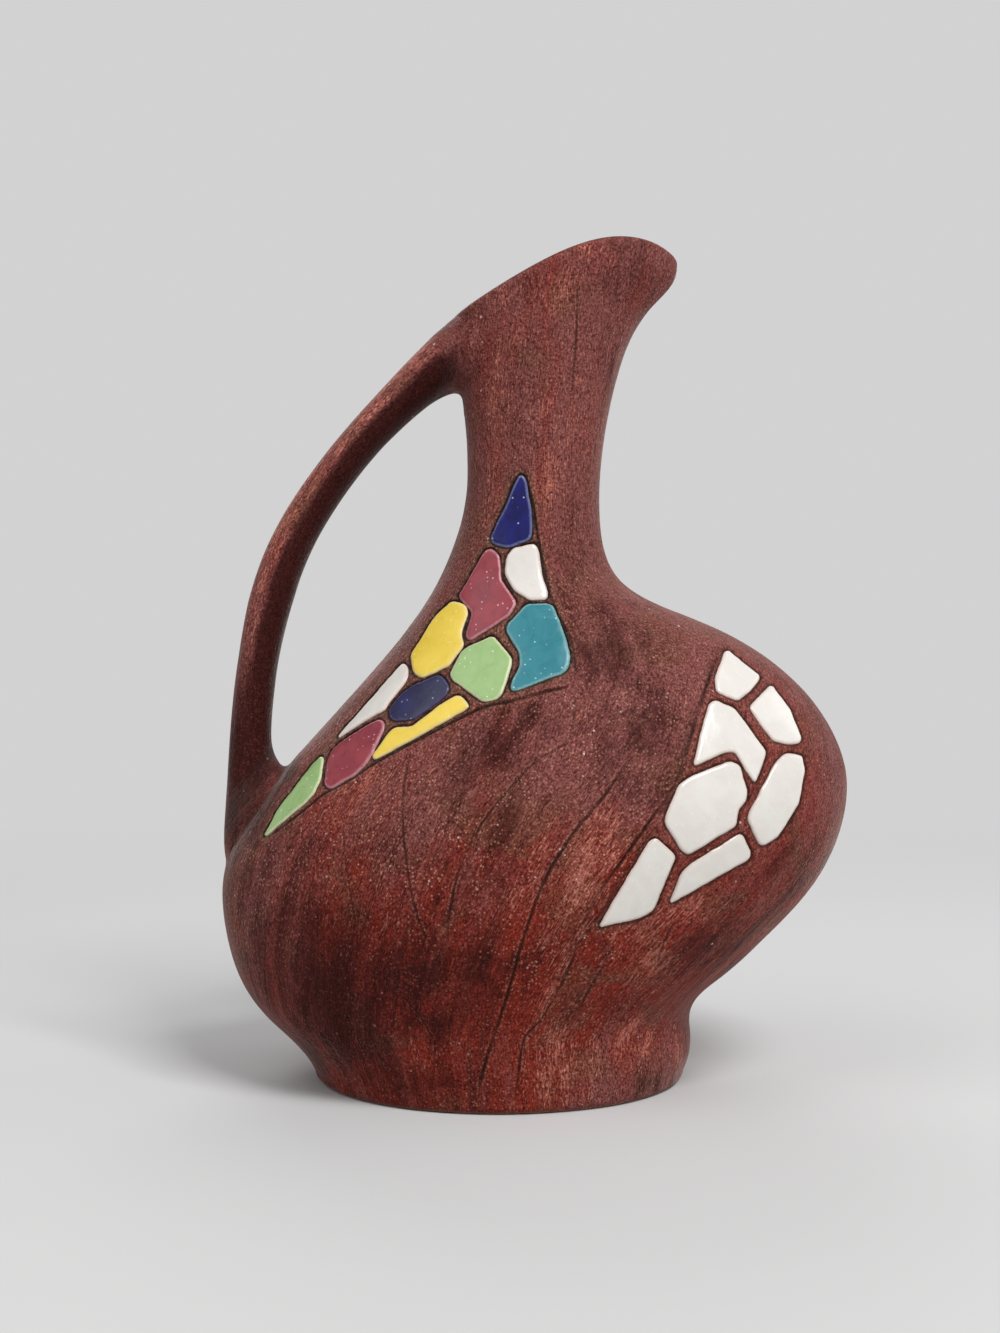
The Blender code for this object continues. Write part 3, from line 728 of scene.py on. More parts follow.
def ring_faces(rings):
    """Quads between successive rings of vertex numbers."""
    faces = []
    for low, high in zip(rings[:-1], rings[1:]):
        faces += np.stack([low, np.roll(low, -1), np.roll(high, -1), high], axis=1).tolist()
    return faces


def fan(middle, ring):
    """Triangles between a middle vertex and a ring of them, which turn as the ring does."""
    return [[middle, int(a), int(b)] for a, b in zip(ring, np.roll(ring, -1))]


def closed_shell(rings):
    """Points and faces of a closed form of rings, with a fan at each end."""
    points = np.concatenate([*rings, [rings[0].mean(axis=0)], [rings[-1].mean(axis=0)]])
    numbers = np.arange(len(points) - 2).reshape(len(rings), -1)
    ends = fan(len(points) - 2, numbers[0][::-1]) + fan(len(points) - 1, numbers[-1])
    return points, ring_faces(numbers) + ends


def place_object(name, data, place=(0.0, 0.0, 0.0), turn=(0.0, 0.0, 0.0)):
    obj = bpy.data.objects.new(name, data)
    obj.location, obj.rotation_euler = place, turn
    bpy.context.scene.collection.objects.link(obj)
    return obj


def mesh_object(name, points, faces, material=None, scale=MM, **values):
    """A smooth mesh object in metres, with any float or vector values as attributes of its points."""
    mesh = bpy.data.meshes.new(name)
    mesh.from_pydata((np.array(points) * scale).tolist(), [], faces)
    for attribute, data in values.items():
        data = np.asarray(data, dtype=np.float32)
        kind, field = ("FLOAT", "value") if data.ndim == 1 else ("FLOAT_VECTOR", "vector")
        mesh.attributes.new(attribute, kind, "POINT").data.foreach_set(field, data.ravel())
    mesh.shade_smooth()
    mesh.update()
    if material:
        mesh.materials.append(material)
    return place_object(name, mesh)


def painted(points):
    """What the clay's material reads at each point: the brush's direction, and the strokes of slip and of
    painted light and shade.
    """
    x, y, z = points.T
    heights, middles, halves = np.transpose(MIDDLE_LINE)
    spread = 0.35 + 0.65 * np.interp(z, heights, halves) / 92.0
    lean = BRUSH_LEAN * smooth_step(-70.0, 30.0, x) * (np.minimum(z, UPRIGHT) - UPRIGHT)
    brush = np.stack([(x - np.interp(z, heights, middles)) / spread - lean, y / spread, z], axis=1)
    bright_and_lit, dull_and_shaded = np.zeros((2, len(points)))
    for strokes, side in ((SLIP_LIGHT_AND_SHADE_STROKES, 1.0), (BACK_STROKES, -1.0)):
        pixels = in_frame(points * (1.0, side, 1.0))
        facing = smooth_step(12.0, -12.0, y * side)
        for strength, *centre, length, width, angle in strokes:
            right, down = (pixels - centre).T
            sine, cosine = np.sin(np.radians(angle)), np.cos(np.radians(angle))
            along = (right * sine - down * cosine) / (length / 2)
            over = (right * cosine + down * sine) / (width / 2)
            stroke = abs(strength) * np.exp(-(along**2 + over**2)) * facing
            paint = bright_and_lit if strength > 0.0 else dull_and_shaded
            np.maximum(paint, stroke, out=paint)
    return {"brush": brush, "bright_and_lit": bright_and_lit, "dull_and_shaded": dull_and_shaded}


def make_body(loft, front, lines, edges, bands, clay):
    """The whole clay body as one closed mesh, its front cut with the lines and the fields' pockets."""
    low = loft.share_at_height(FOOT_ROUNDING)
    climb = np.linspace(np.interp(low, front.shares, front.along), front.along[-1], ROWS + 1)
    shares = np.interp(climb, front.along, front.shares)
    shares[0], shares[-1] = low, 1.0
    back = np.linspace(0.0, np.pi, HALF_SIDES + 1)
    ahead = back[1:-1] - np.pi
    full = np.concatenate([back[:-1] - np.pi, back[:-1]])

    inner = front_places(front, lines, edges, shares)
    at = [level(share, back) for share in shares] + [level(low, ahead), level(1.0, ahead), inner]
    at = np.concatenate(at)
    grid = np.arange((ROWS + 1) * (HALF_SIDES + 1)).reshape(ROWS + 1, -1)
    bottom = grid.size + np.arange(len(ahead))
    top = bottom + len(ahead)

    bound = [grid[0, -1], *bottom, *grid[:, 0], *top[::-1], *grid[::-1, -1]][:-1]
    order = np.array([*bound, *np.arange(top[-1] + 1, len(at))])
    laid = at[order]
    laid[np.isin(order, grid[:, -1]), 1] = -np.pi
    faces = order[triangles_between(front.flat(laid), len(bound))].tolist()

    base = loft.points(at)
    marks = np.zeros((4, len(base)))
    marks[:, grid.size :] = clay_relief(lines, edges, bands, base[grid.size :])
    lift, dark, ridge, pale = marks
    lift = lift + unevenness(base) * smooth_step(*CALM_SHARES, at[:, 0])
    points = base + loft.normals(at) * lift[:, None]

    low_ring = np.array([grid[0, -1], *bottom, *grid[0, :-1]])
    top_ring = np.array([grid[-1, -1], *top, *grid[-1, :-1]])
    under = underside_rings(points[low_ring])
    inside = lip_rings(loft, points[top_ring], full) + inside_rings(loft, full, WALL, 0.998, 100)
    rings = under + inside
    numbers = (len(points) + np.arange(len(rings) * len(full))).reshape(len(rings), -1)
    middle = numbers[-1, -1] + 1
    corners = [grid[:-1, :-1], grid[:-1, 1:], grid[1:, 1:], grid[1:, :-1]]
    faces += np.stack(corners, axis=-1).reshape(-1, 4).tolist()
    faces += ring_faces([*numbers[: len(under)], low_ring]) + ring_faces([top_ring, *numbers[len(under) :]])
    faces += fan(int(middle), numbers[0][::-1]) + fan(int(middle) + 1, numbers[-1])
    points = np.concatenate([points, *rings, [rings[0].mean(axis=0)], [rings[-1].mean(axis=0)]])

    of_ring = np.zeros((2, len(rings)))
    of_ring[0, 2 : len(under) - 3] = 1.0
    of_ring[1, len(under) + 2 : len(under) + 7] = LIP_DARK
    raw, lip = np.pad(np.repeat(of_ring, len(full), axis=1), ((0, 0), (0, 2)))
    none = np.zeros(len(raw))
    dark, ridge, pale = np.append(dark, lip), np.append(ridge, none), np.append(pale, none)
    raw = np.append(np.zeros(len(base)), raw)
    return mesh_object(
        "ewer_body", points, faces, clay, groove=dark, ridge=ridge, burr=pale, raw=raw, **painted(points)
    )


def make_lining(loft, interior):
    """The glossy coat inside, a closed form that ends in a soft edge just under the lip."""
    angles = full_turn(HALF_SIDES)
    clay_side = inside_rings(loft, angles, WALL + 0.05, 0.985)
    open_side = inside_rings(loft, angles, WALL + LINING, 0.982)
    edge = inside_rings(loft, angles, WALL + LINING * 0.7, 0.9845)[:1]
    points, faces = closed_shell([*clay_side[::-1], *edge, *open_side])
    return mesh_object("ewer_lining", points, faces, interior)


def field_height(points, inside):
    """How far a glaze field stands out, from its edge to the pool in its middle."""
    rise = 1.0 - (1.0 - np.clip(inside / FIELD_SHOULDER, 0.0, 1.0)) ** 2.6
    return FIELD_EDGE * (1.0 - rise) + 0.06 * waves(points, 0.22) * rise


def make_field(front, edges, number, name, material):
    """One glaze field as a closed form in its pocket, with a rounded shoulder."""
    own = edges.owner == number
    count = own.sum()
    at = [edges.at[own]]
    for offset in FIELD_OFFSETS:
        beside, owner = edges.beside(front, offset, keep=0.97)
        at.append(beside[owner == number])
    pixels = in_frame(edges.points[own])
    spans = [np.arange(low, high, FIELD_GRID) for low, high in zip(pixels.min(axis=0), pixels.max(axis=0))]
    inner = front.find(np.stack(np.meshgrid(*spans), axis=-1).reshape(-1, 2))
    index, across = edges.nearest(front.loft.points(inner))
    at = np.concatenate([*at, inner[(across < FIELD_OFFSETS[-1] - 0.5) & own[index]]])
    kept = thinned(front.loft.points(at), MARK_LEAST)
    at = np.concatenate([at[:count], at[kept[kept >= count]]])

    flat = front.flat(at)
    triangles = triangles_between(flat, count)
    base, normal = front.loft.points(at), front.loft.normals(at)
    inside = np.maximum(0.0, -edges.nearest(base)[1])
    inside[:count] = 0.0
    top = base + normal * (field_height(base, inside) + unevenness(base))[:, None]
    floor = base - normal * (POCKET_DEPTH - 0.1)
    ring = np.arange(count)
    if crossed(flat[:count], np.roll(flat[:count], -1, axis=0)).sum() <= 0.0:
        ring = ring[::-1]
    faces = triangles.tolist() + (triangles[:, ::-1] + len(base)).tolist()
    faces += ring_faces([ring + len(base), ring])
    rim = np.append(smooth_step(0.9, 0.3, inside), np.ones(len(base)))
    return mesh_object("field_" + name, np.concatenate([top, floor]), faces, material, rim=rim)


def evaluated(obj):
    """The points and faces of an object with its modifiers, in its own units."""
    mesh = obj.evaluated_get(bpy.context.evaluated_depsgraph_get()).to_mesh()
    points = np.empty(len(mesh.vertices) * 3)
    mesh.vertices.foreach_get("co", points)
    return points.reshape(-1, 3), [tuple(face.vertices) for face in mesh.polygons]


def quad_sides(faces):
    return np.concatenate([faces[:, [i, (i + 1) % 4]] for i in range(4)])


def averaged(points, pairs, weight, rounds):
    """The points drawn towards the middle of their neighbours again and again, by their weight."""
    ends, others = np.concatenate([pairs, pairs[:, ::-1]]).T
    degree = np.maximum(1, np.bincount(ends, minlength=len(points)))
    for _ in range(rounds):
        sums = [np.bincount(ends, points[others, k], len(points)) for k in range(3)]
        points = points + (np.stack(sums, axis=1) / degree[:, None] - points) * (0.6 * weight)[:, None]
    return points


def trimmed(points, faces, keep):
    """The faces whose points are all kept, the points they use, and those points' old numbers."""
    faces = faces[keep[faces].all(axis=1)]
    used, numbers = np.unique(faces, return_inverse=True)
    return points[used], numbers.reshape(faces.shape), used


def largest_part(count, faces):
    """Which points belong to the largest connected part."""
    parent = list(range(count))

    def root(i):
        while parent[i] != i:
            parent[i] = parent[parent[i]]
            i = parent[i]
        return i

    for face in faces.tolist():
        first = root(face[0])
        for other in face[1:]:
            parent[root(other)] = first
    roots = np.array([root(i) for i in range(count)])
    return roots == np.bincount(roots).argmax()


def sunk_border(count, faces):
    """How far each point sinks so that the open border of a mesh of quads lies under its neighbour."""
    edges, uses = np.unique(np.sort(quad_sides(faces), axis=1), axis=0, return_counts=True)
    depth = np.zeros(count)
    depth[edges[uses == 1].ravel()] = BORDER_DEPTH
    for _ in range(2):
        near = np.zeros(count)
        for here, there in (edges.T, edges.T[::-1]):
            np.maximum.at(near, here, depth[there] / 2)
        depth = np.maximum(depth, near)
    return depth


def point_normals(points, faces):
    """The normals at the points of a mesh of quads."""
    a, b, c, d = (points[faces[:, k]] for k in range(4))
    across = np.cross(c - a, d - b)
    normals = np.zeros_like(points)
    for k in range(4):
        np.add.at(normals, faces[:, k], across)
    return normals / np.maximum(1e-9, np.linalg.norm(normals, axis=1))[:, None]


def nearest_on(tree, points):
    """For each point: the nearest place on a surface, its normal there and the distance."""
    place, normal, _, distance = zip(*(tree.find_nearest(Vector(p)) for p in points))
    return np.array(place), np.array(normal), np.array(distance)


def outside_by(loft, points):
    """How far points lie outside a surface within the body's wall, which ends at the lip."""
    rings = [loft.under(level(share, full_turn(120)), MID_WALL) for share in np.linspace(0.3, 1.0, 120)]
    surface, faces = closed_shell(rings)
    place, normal, _ = nearest_on(BVHTree.FromPolygons(surface.tolist(), faces), points)
    return ((points - place) * normal).sum(axis=1)


def make_handle(loft, clay):
    """The handle, luted to the body: both are fused, the crook is rounded, and the rest is cut away."""
    arm = Loft(HANDLE_SECTIONS)
    shares = np.linspace(0.0, 1.0, HANDLE_ROWS)
    arm_at = np.concatenate([level(share, full_turn(ARM_SIDES)) for share in shares])
    arm_rings = arm.points(arm_at).reshape(HANDLE_ROWS, ARM_SIDES, 3)
    angles = full_turn(SHELL_SIDES)
    rings = [loft.points(level(share, angles)) for share in shares]
    rings += lip_rings(loft, rings[-1], angles)
    inside = inside_rings(loft, angles, WALL, 1.0)
    above = inside[0] + unit(loft.slopes(level(1.0, angles))[0]) * ABOVE_LIP

    arm_solid = mesh_object("arm", *closed_shell(arm_rings), scale=1.0)
    hollow = mesh_object("hollow", *closed_shell([above, *inside][::-1]), scale=1.0)
    cut = arm_solid.modifiers.new("cut", "BOOLEAN")
    cut.operation, cut.solver, cut.object = "DIFFERENCE", "EXACT", hollow
    arm_points, arm_faces = evaluated(arm_solid)
    shell_points, shell_faces = closed_shell(rings + inside)
    both = arm_faces + [[i + len(arm_points) for i in face] for face in shell_faces]
    fused = mesh_object("fused", np.concatenate([arm_points, shell_points]), both, scale=1.0)
    remesh = fused.modifiers.new("remesh", "REMESH")
    remesh.mode, remesh.voxel_size = "VOXEL", VOXEL
    points, faces = evaluated(fused)
    for obj in (arm_solid, hollow, fused):
        mesh = obj.data
        bpy.data.objects.remove(obj)
        bpy.data.meshes.remove(mesh)

    arm_tree = BVHTree.FromPolygons(arm_points.tolist(), arm_faces)
    shell_tree = BVHTree.FromPolygons(shell_points.tolist(), shell_faces)
    faces = np.array([face for face in faces if len(face) == 4])
    points, faces, _ = trimmed(points, faces, (points[:, 0] < 12.0) & (points[:, 2] > 42.0))

    on_arm, _, to_arm = nearest_on(arm_tree, points)
    on_shell, shell_normal, to_shell = nearest_on(shell_tree, points)
    crook = np.maximum(to_arm, to_shell)
    points = averaged(points, quad_sides(faces), smooth_step(CROOK_OUTER, CROOK_INNER, crook), CROOK_ROUNDS)

    row_tree = tree_of(np.concatenate(rings))
    rows = np.array([row_tree.find(p)[1] // SHELL_SIDES for p in points])
    below_lip = smooth_step(HANDLE_ROWS - 1, HANDLE_ROWS - 7, rows)
    for tree, hold in ((arm_tree, below_lip), (shell_tree, 1.0)) * 2:
        place, normal, _ = nearest_on(tree, points)
        sunk = ((points - place) * normal).sum(axis=1) < 0.0
        points = points + (place - points) * (sunk * hold)[:, None]

    arm_side = (to_arm < to_shell)[:, None]
    outside = outside_by(loft, points)
    border = np.maximum(smooth_step(SKIRT - 3.0, SKIRT, to_arm), smooth_step(1.4, 0.4, outside))
    skirt = on_shell + shell_normal * (SKIRT_LIFT - SKIRT_SINK * border)[:, None]
    settle = smooth_step(CROOK_OUTER - 2.0, CROOK_OUTER + 0.5, crook)[:, None]
    points = points * (1.0 - settle) + np.where(arm_side, on_arm, skirt) * settle

    in_wall = (to_shell < 0.6) & ~arm_side[:, 0] & (outside < 0.0)
    points, faces, kept = trimmed(points, faces, (to_arm < SKIRT) & ~in_wall)
    points, faces, whole = trimmed(points, faces, largest_part(len(points), faces))
    crook, to_shell = crook[kept[whole]], to_shell[kept[whole]]
    rows = np.array([row_tree.find(p)[1] // SHELL_SIDES for p in points])
    calm = smooth_step(*CALM_SHARES, shares[np.minimum(rows, HANDLE_ROWS - 1)])
    normals = point_normals(points, faces)
    points = points + normals * (unevenness(points) * calm - sunk_border(len(points), faces))[:, None]

    arm_place = tree_of(arm_rings.reshape(-1, 3))
    at = arm_at[[arm_place.find(p)[1] for p in points]]
    at = arm.moved(at, points - arm.points(at))
    share, turn = np.clip(at[:, 0], 0.0, 1.0), at[:, 1]
    length = run_along(arm.rows[:, :2])[-1]
    strokes = np.stack([9.0 * np.cos(turn), 9.0 * np.sin(turn), share * length], axis=1)
    left_x, left_z, right_x, right_z = arm.section(share)[:, :4].T
    inward = unit(np.stack([right_x - left_x, np.zeros(len(share)), right_z - left_z], axis=1))
    inward = (normals * inward).sum(axis=1)
    on_arm = smooth_step(1.0, 9.0, to_shell)
    # Painted shade on the handle's inner side, which faces away from the light
    shaded = 1.2 * smooth_step(-0.55, 0.5, inward) * on_arm
    # A painted light band along the handle's outer side, high up
    lit = 0.9 * np.exp(-(((inward + 0.6) / 0.42) ** 2)) * smooth_step(90.0, 155.0, points[:, 2]) * on_arm
    paint = painted(points)
    paint["brush"] = paint["brush"] * (1.0 - on_arm)[:, None] + strokes * on_arm[:, None]
    # Painted shade in the crook where handle and body meet, partly slip pooled there
    paint["dull_and_shaded"] = np.maximum.reduce([paint["dull_and_shaded"], 0.2 * smooth_step(9.0, 0.0, crook), shaded])
    paint["bright_and_lit"] = np.maximum(paint["bright_and_lit"] * (1.0 - on_arm), lit)
    dark = LIP_DARK * (rows > HANDLE_ROWS + 1) * (rows < HANDLE_ROWS + 7) * (1.0 - on_arm)
    none = np.zeros(len(points))
    return mesh_object(
        "ewer_handle", points, faces.tolist(), clay, groove=dark, ridge=none, burr=none, raw=none, **paint
    )


def colour(value):
    """A screen colour of 0 to 255 as the linear one that a node takes. A socket stays as it is."""
    if isinstance(value, bpy.types.NodeSocket):
        return value
    parts = [v / 255.0 for v in value]
    return (*(p / 12.92 if p < 0.04045 else ((p + 0.055) / 1.055) ** 2.4 for p in parts), 1.0)


class Nodes:
    """The nodes of a material or a world, built by short calls. Lengths inside it are millimetres."""

    def __init__(self, owner):
        owner.use_nodes = True
        self.owner = owner
        self.tree = owner.node_tree

    def node(self, kind, inputs, **settings):
        node = self.tree.nodes.new(kind)
        for key, value in settings.items():
            setattr(node, key, value)
        for key, value in inputs.items():
            self.put(value, node.inputs[key])
        return node

    def put(self, value, socket):
        if isinstance(value, bpy.types.NodeSocket):
            self.tree.links.new(value, socket)
        else:
            socket.default_value = value

    def surface(self, inputs):
        """Sets inputs of the material's shader: links for sockets, plain values for the rest."""
        shader = self.tree.nodes["Principled BSDF"]
        for key, value in inputs.items():
            self.put(value, shader.inputs[key])
        return shader.outputs[0]

    def output(self, name, factor, a, b):
        """Sends a mix of two shaders to the output node."""
        both = self.node("ShaderNodeMixShader", {0: factor, 1: a, 2: b}).outputs[0]
        self.put(both, self.tree.nodes[name].inputs["Surface"])

    def place(self):
        """The object's own coordinates in millimetres."""
        where = self.node("ShaderNodeTexCoord", {}).outputs["Object"]
        return self.vectors("SCALE", {0: where, "Scale": 1.0 / MM})

    def seen(self):
        """One where the camera looks, also by way of gloss, and zero for rays that only give light."""
        rays = self.node("ShaderNodeLightPath", {}).outputs
        found = self.total(*(rays["Is %s Ray" % kind] for kind in ("Camera", "Glossy", "Transmission")))
        return self.math("MINIMUM", found, 1.0)

    def attribute(self, name, kind="Fac"):
        return self.node("ShaderNodeAttribute", {}, attribute_name=name).outputs[kind]

    def noise(self, where, size, detail=2.0, rough=0.5, bend=0.0):
        """Noise about 0.5 whose spots are of a size in millimetres, one number or one along each axis."""
        scale = tuple(1.0 / s for s in (size if isinstance(size, tuple) else (size,) * 3))
        laid = self.node("ShaderNodeMapping", {"Vector": where, "Scale": scale}).outputs[0]
        inputs = {"Vector": laid, "Scale": 1.0, "Detail": detail, "Roughness": rough, "Distortion": bend}
        return self.node("ShaderNodeTexNoise", inputs).outputs["Fac"]

    def waves(self, *settings):
        """The same noise, about zero."""
        return self.total(self.noise(*settings), -0.5)

    def dots(self, where, spacing, radius, share):
        """Soft round dots at scattered places, at a share of them only, each of its own strength."""
        cells = self.node("ShaderNodeTexVoronoi", {"Vector": where, "Scale": 1.0 / spacing}).outputs
        chance = self.node("ShaderNodeSeparateColor", {0: cells["Color"]}).outputs[0]
        dot = self.ramp(cells["Distance"], 1.25 * radius / spacing, 0.6 * radius / spacing)
        return self.times(dot, self.ramp(chance, 1.0 - share, 1.0 - 0.4 * share))

    def vectors(self, operation, inputs):
        outputs = self.node("ShaderNodeVectorMath", inputs, operation=operation).outputs
        return outputs["Value" if operation in ("DISTANCE", "LENGTH") else "Vector"]

    def math(self, operation, a, b=0.0):
        return self.node("ShaderNodeMath", {0: a, 1: b}, operation=operation).outputs[0]

    def total(self, *parts):
        """The sum of parts, each a number, a socket, or a pair of a socket and its share."""
        found = 0.0
        for part in parts:
            found = self.math("ADD", self.times(*part) if isinstance(part, tuple) else part, found)
        return found

    def times(self, found, *parts):
        """The product of parts, each a number or a socket."""
        for part in parts:
            found = self.math("MULTIPLY", found, part)
        return found

    def ramp(self, value, low, high, start=0.0, end=1.0):
        inputs = {"Value": value, "From Min": low, "From Max": high, "To Min": start, "To Max": end}
        return self.node("ShaderNodeMapRange", inputs, interpolation_type="SMOOTHSTEP").outputs["Result"]

    def mix(self, factor, a, b):
        inputs = {0: factor, 6: colour(a), 7: colour(b)}
        return self.node("ShaderNodeMix", inputs, data_type="RGBA").outputs[2]

    def bump(self, height, depth, under=None):
        """A bump of a depth in millimetres, over another one."""
        inputs = {"Height": height, "Distance": depth * MM, "Strength": 1.0}
        if under:
            inputs["Normal"] = under
        return self.node("ShaderNodeBump", inputs).outputs[0]


def make_clay():
    """Matt red-brown slip, brushed on unevenly, with grain and specks, and with painted light and shade."""
    nodes = Nodes(bpy.data.materials.new("brushed_clay"))
    place, brush = nodes.place(), nodes.attribute("brush", "Vector")
    rightward, _, height = nodes.node("ShaderNodeSeparateXYZ", {0: place}).outputs
    broad = nodes.waves(brush, (6.0, 6.0, 44.0), 3.0, 0.55, 0.3)
    fine = nodes.waves(brush, (0.9, 0.9, 9.0), 2.0, 0.6)
    hue = nodes.waves(brush, (13.0, 13.0, 60.0), 3.0)
    blotch = nodes.waves(place, 30.0, 3.0, 0.6, 0.8)
    cloud = nodes.waves(place, 7.0, 3.0, 0.7, 0.4)
    grain = nodes.waves(place, 0.62, 1.0, 0.6)
    fleck = nodes.waves(brush, (0.5, 0.5, 1.5), 1.0, 0.6)
    uneven = nodes.total(1.0, (fine, 1.8), (cloud, 1.2), (broad, 1.2))
    bright_and_lit = nodes.times(nodes.attribute("bright_and_lit"), uneven)
    uneven = nodes.total(1.0, (fine, 0.4), (cloud, 0.4), (broad, 0.5))
    dull_and_shaded = nodes.times(nodes.attribute("dull_and_shaded"), uneven)

    # The slip is redder low down and greyer high up, where the grey is partly painted sheen, and darker and
    # lighter in streaks and blotches
    left_or_high = nodes.ramp(nodes.total(height, (rightward, -0.6)), -16.0, 4.0, 0.1, 1.0)
    low = nodes.times(nodes.ramp(height, 130.0, 22.0, 0.0, 0.98), left_or_high)
    warmth = nodes.total((hue, 2.2), (cloud, 0.8), (bright_and_lit, 0.4), low)
    for amount, middle, radius in WARM_SPOTS:
        away = nodes.vectors("DISTANCE", {0: place, 1: middle})
        warmth = nodes.total(warmth, nodes.ramp(away, radius, 0.3 * radius, 0.0, amount))
    slip = nodes.mix(warmth, SLIP_COOL, SLIP_WARM)
    olive = nodes.ramp(nodes.noise(place, 20.0, 2.0, 0.5, 0.6), 0.50, 0.66, 0.0, 0.6)
    slip = nodes.mix(olive, slip, SLIP_OLIVE)
    # Darker slip in blotches, and painted shade where the dull strokes lie
    shade = nodes.total((blotch, 1.3), (cloud, 0.9), (broad, 1.8), (fine, 1.0))
    shade = nodes.times(shade, nodes.ramp(dull_and_shaded, 0.1, 0.8, 1.0, 0.35))
    shade = nodes.total(shade, (dull_and_shaded, 0.9), (bright_and_lit, -0.5))
    slip = nodes.mix(nodes.ramp(shade, -0.15, 0.85, 0.0, 0.95), slip, SLIP_DARK_AND_SHADE)
    # Paler worn slip, and painted light where the bright strokes lie
    worn_and_lit = nodes.total((fine, 1.8), (fleck, 1.1), (cloud, 1.0), (broad, 1.3), (bright_and_lit, 0.66), (dull_and_shaded, -0.6))
    slip = nodes.mix(nodes.ramp(worn_and_lit, 0.10, 1.0, 0.0, 0.8), slip, SLIP_WORN_AND_LIT)
    ridge, right = nodes.attribute("ridge"), nodes.ramp(rightward, 20.0, 40.0)
    slip = nodes.mix(nodes.times(ridge, 0.85), slip, nodes.mix(right, RIDGE, RIDGE_RED))

    # The grain's dark spots are more saturated than its light ones
    mixed = nodes.total(grain, (fleck, 0.8))
    light = nodes.total(1.0, (nodes.ramp(mixed, 0.0, 0.32), 0.85), (nodes.ramp(mixed, 0.02, -0.28), -0.62))
    deeper = nodes.math("POWER", light, 1.4)
    light = nodes.node("ShaderNodeCombineXYZ", {0: light, 1: deeper, 2: deeper}).outputs[0]
    slip = nodes.vectors("MULTIPLY", {0: slip, 1: light})

    # Sand and specks, thinner high up, at the foot, on the right and in dark slip and painted shade, and a
    # few everywhere
    where = nodes.times(
        nodes.ramp(nodes.noise(place, 8.0, 3.0), 0.38, 0.62, 0.35, 1.0),
        nodes.ramp(nodes.total(height, (rightward, -1.5)), 180.0, 220.0, 1.0, 0.5),
        nodes.ramp(height, 100.0, 145.0, 1.0, 0.45),
        nodes.ramp(height, 20.0, 70.0, 0.55, 1.0),
        nodes.ramp(rightward, 25.0, 75.0, 1.0, 0.3),
        nodes.ramp(dull_and_shaded, 0.15, 0.7, 1.0, 0.3),
    )
    where = nodes.math("MAXIMUM", where, nodes.times(ridge, nodes.ramp(right, 0.0, 1.0, 0.7, 0.0)))
    slip = nodes.mix(nodes.times(nodes.dots(place, 1.0, 0.3, 0.85), where, 0.8), slip, SAND)
    slip = nodes.mix(nodes.times(nodes.dots(place, 2.6, 0.3, 0.4), where, 0.9), slip, SPECK_PALE)
    slip = nodes.mix(nodes.times(nodes.dots(place, 7.0, 0.42, 0.35), 0.85), slip, SPECK_PALE)

    # Marks: the burr beside a line, the line itself and the raw clay under the foot
    burr = nodes.times(nodes.attribute("burr"), nodes.ramp(grain, -0.05, 0.25, 0.0, 0.7))
    slip = nodes.mix(burr, slip, BURR)
    rough = nodes.ramp(nodes.noise(place, 0.9, 2.0), 0.3, 0.55, 0.7, 1.0)
    slip = nodes.mix(nodes.times(nodes.attribute("groove"), rough), slip, GROOVE)
    slip = nodes.mix(nodes.attribute("raw"), slip, RAW)

    strokes = nodes.bump(nodes.total(fine, (broad, 2.0)), 0.22)
    nodes.surface({
        "Base Color": slip,
        "Roughness": nodes.ramp(nodes.total(broad, grain), -0.3, 0.3, 0.55, 0.78),
        "Specular IOR Level": 0.10,
        "Sheen Weight": 0.4,
        "Sheen Roughness": 0.25,
        "Sheen Tint": colour(SHEEN),
        "Normal": nodes.bump(mixed, 0.20, strokes),
    })
    return nodes.owner


def make_glaze(name, rough, base, dark, rim, specks):
    """A glossy opaque glaze: mottled, thin and paler at its rim, with small specks."""
    nodes = Nodes(bpy.data.materials.new(name))
    place = nodes.place()
    pool = nodes.noise(place, 7.0, 3.0, 0.6, 0.6)
    glaze = nodes.mix(nodes.ramp(pool, 0.36, 0.66), dark, base)
    uneven = nodes.ramp(nodes.noise(place, 0.8, 2.0, 0.6), 0.25, 0.6, 0.45, 1.0)
    glaze = nodes.mix(nodes.times(nodes.attribute("rim"), uneven), glaze, rim)
    glaze = nodes.mix(nodes.times(nodes.dots(place, 1.5, 0.26, 0.5), 0.9), glaze, specks)
    nodes.surface({
        "Base Color": glaze,
        "Roughness": nodes.ramp(pool, 0.3, 0.7, rough, rough + 0.08),
        "IOR": 1.5 if rough < 0.2 else 1.4,
        "Normal": nodes.bump(nodes.noise(place, 3.2, 2.0), 0.12),
    })
    return nodes.owner


def make_interior():
    """The coat inside: a dark brown gloss of uneven depth."""
    nodes = Nodes(bpy.data.materials.new("interior_gloss"))
    place = nodes.place()
    pool = nodes.noise(place, 14.0, 3.0, 0.6, 0.5)
    nodes.surface({
        "Base Color": nodes.mix(nodes.ramp(pool, 0.35, 0.7), INSIDE_DARK, INSIDE_LIGHT),
        "Roughness": nodes.ramp(pool, 0.3, 0.7, 0.12, 0.24),
        "Normal": nodes.bump(nodes.noise(place, 4.0, 2.0), 0.2),
    })
    return nodes.owner


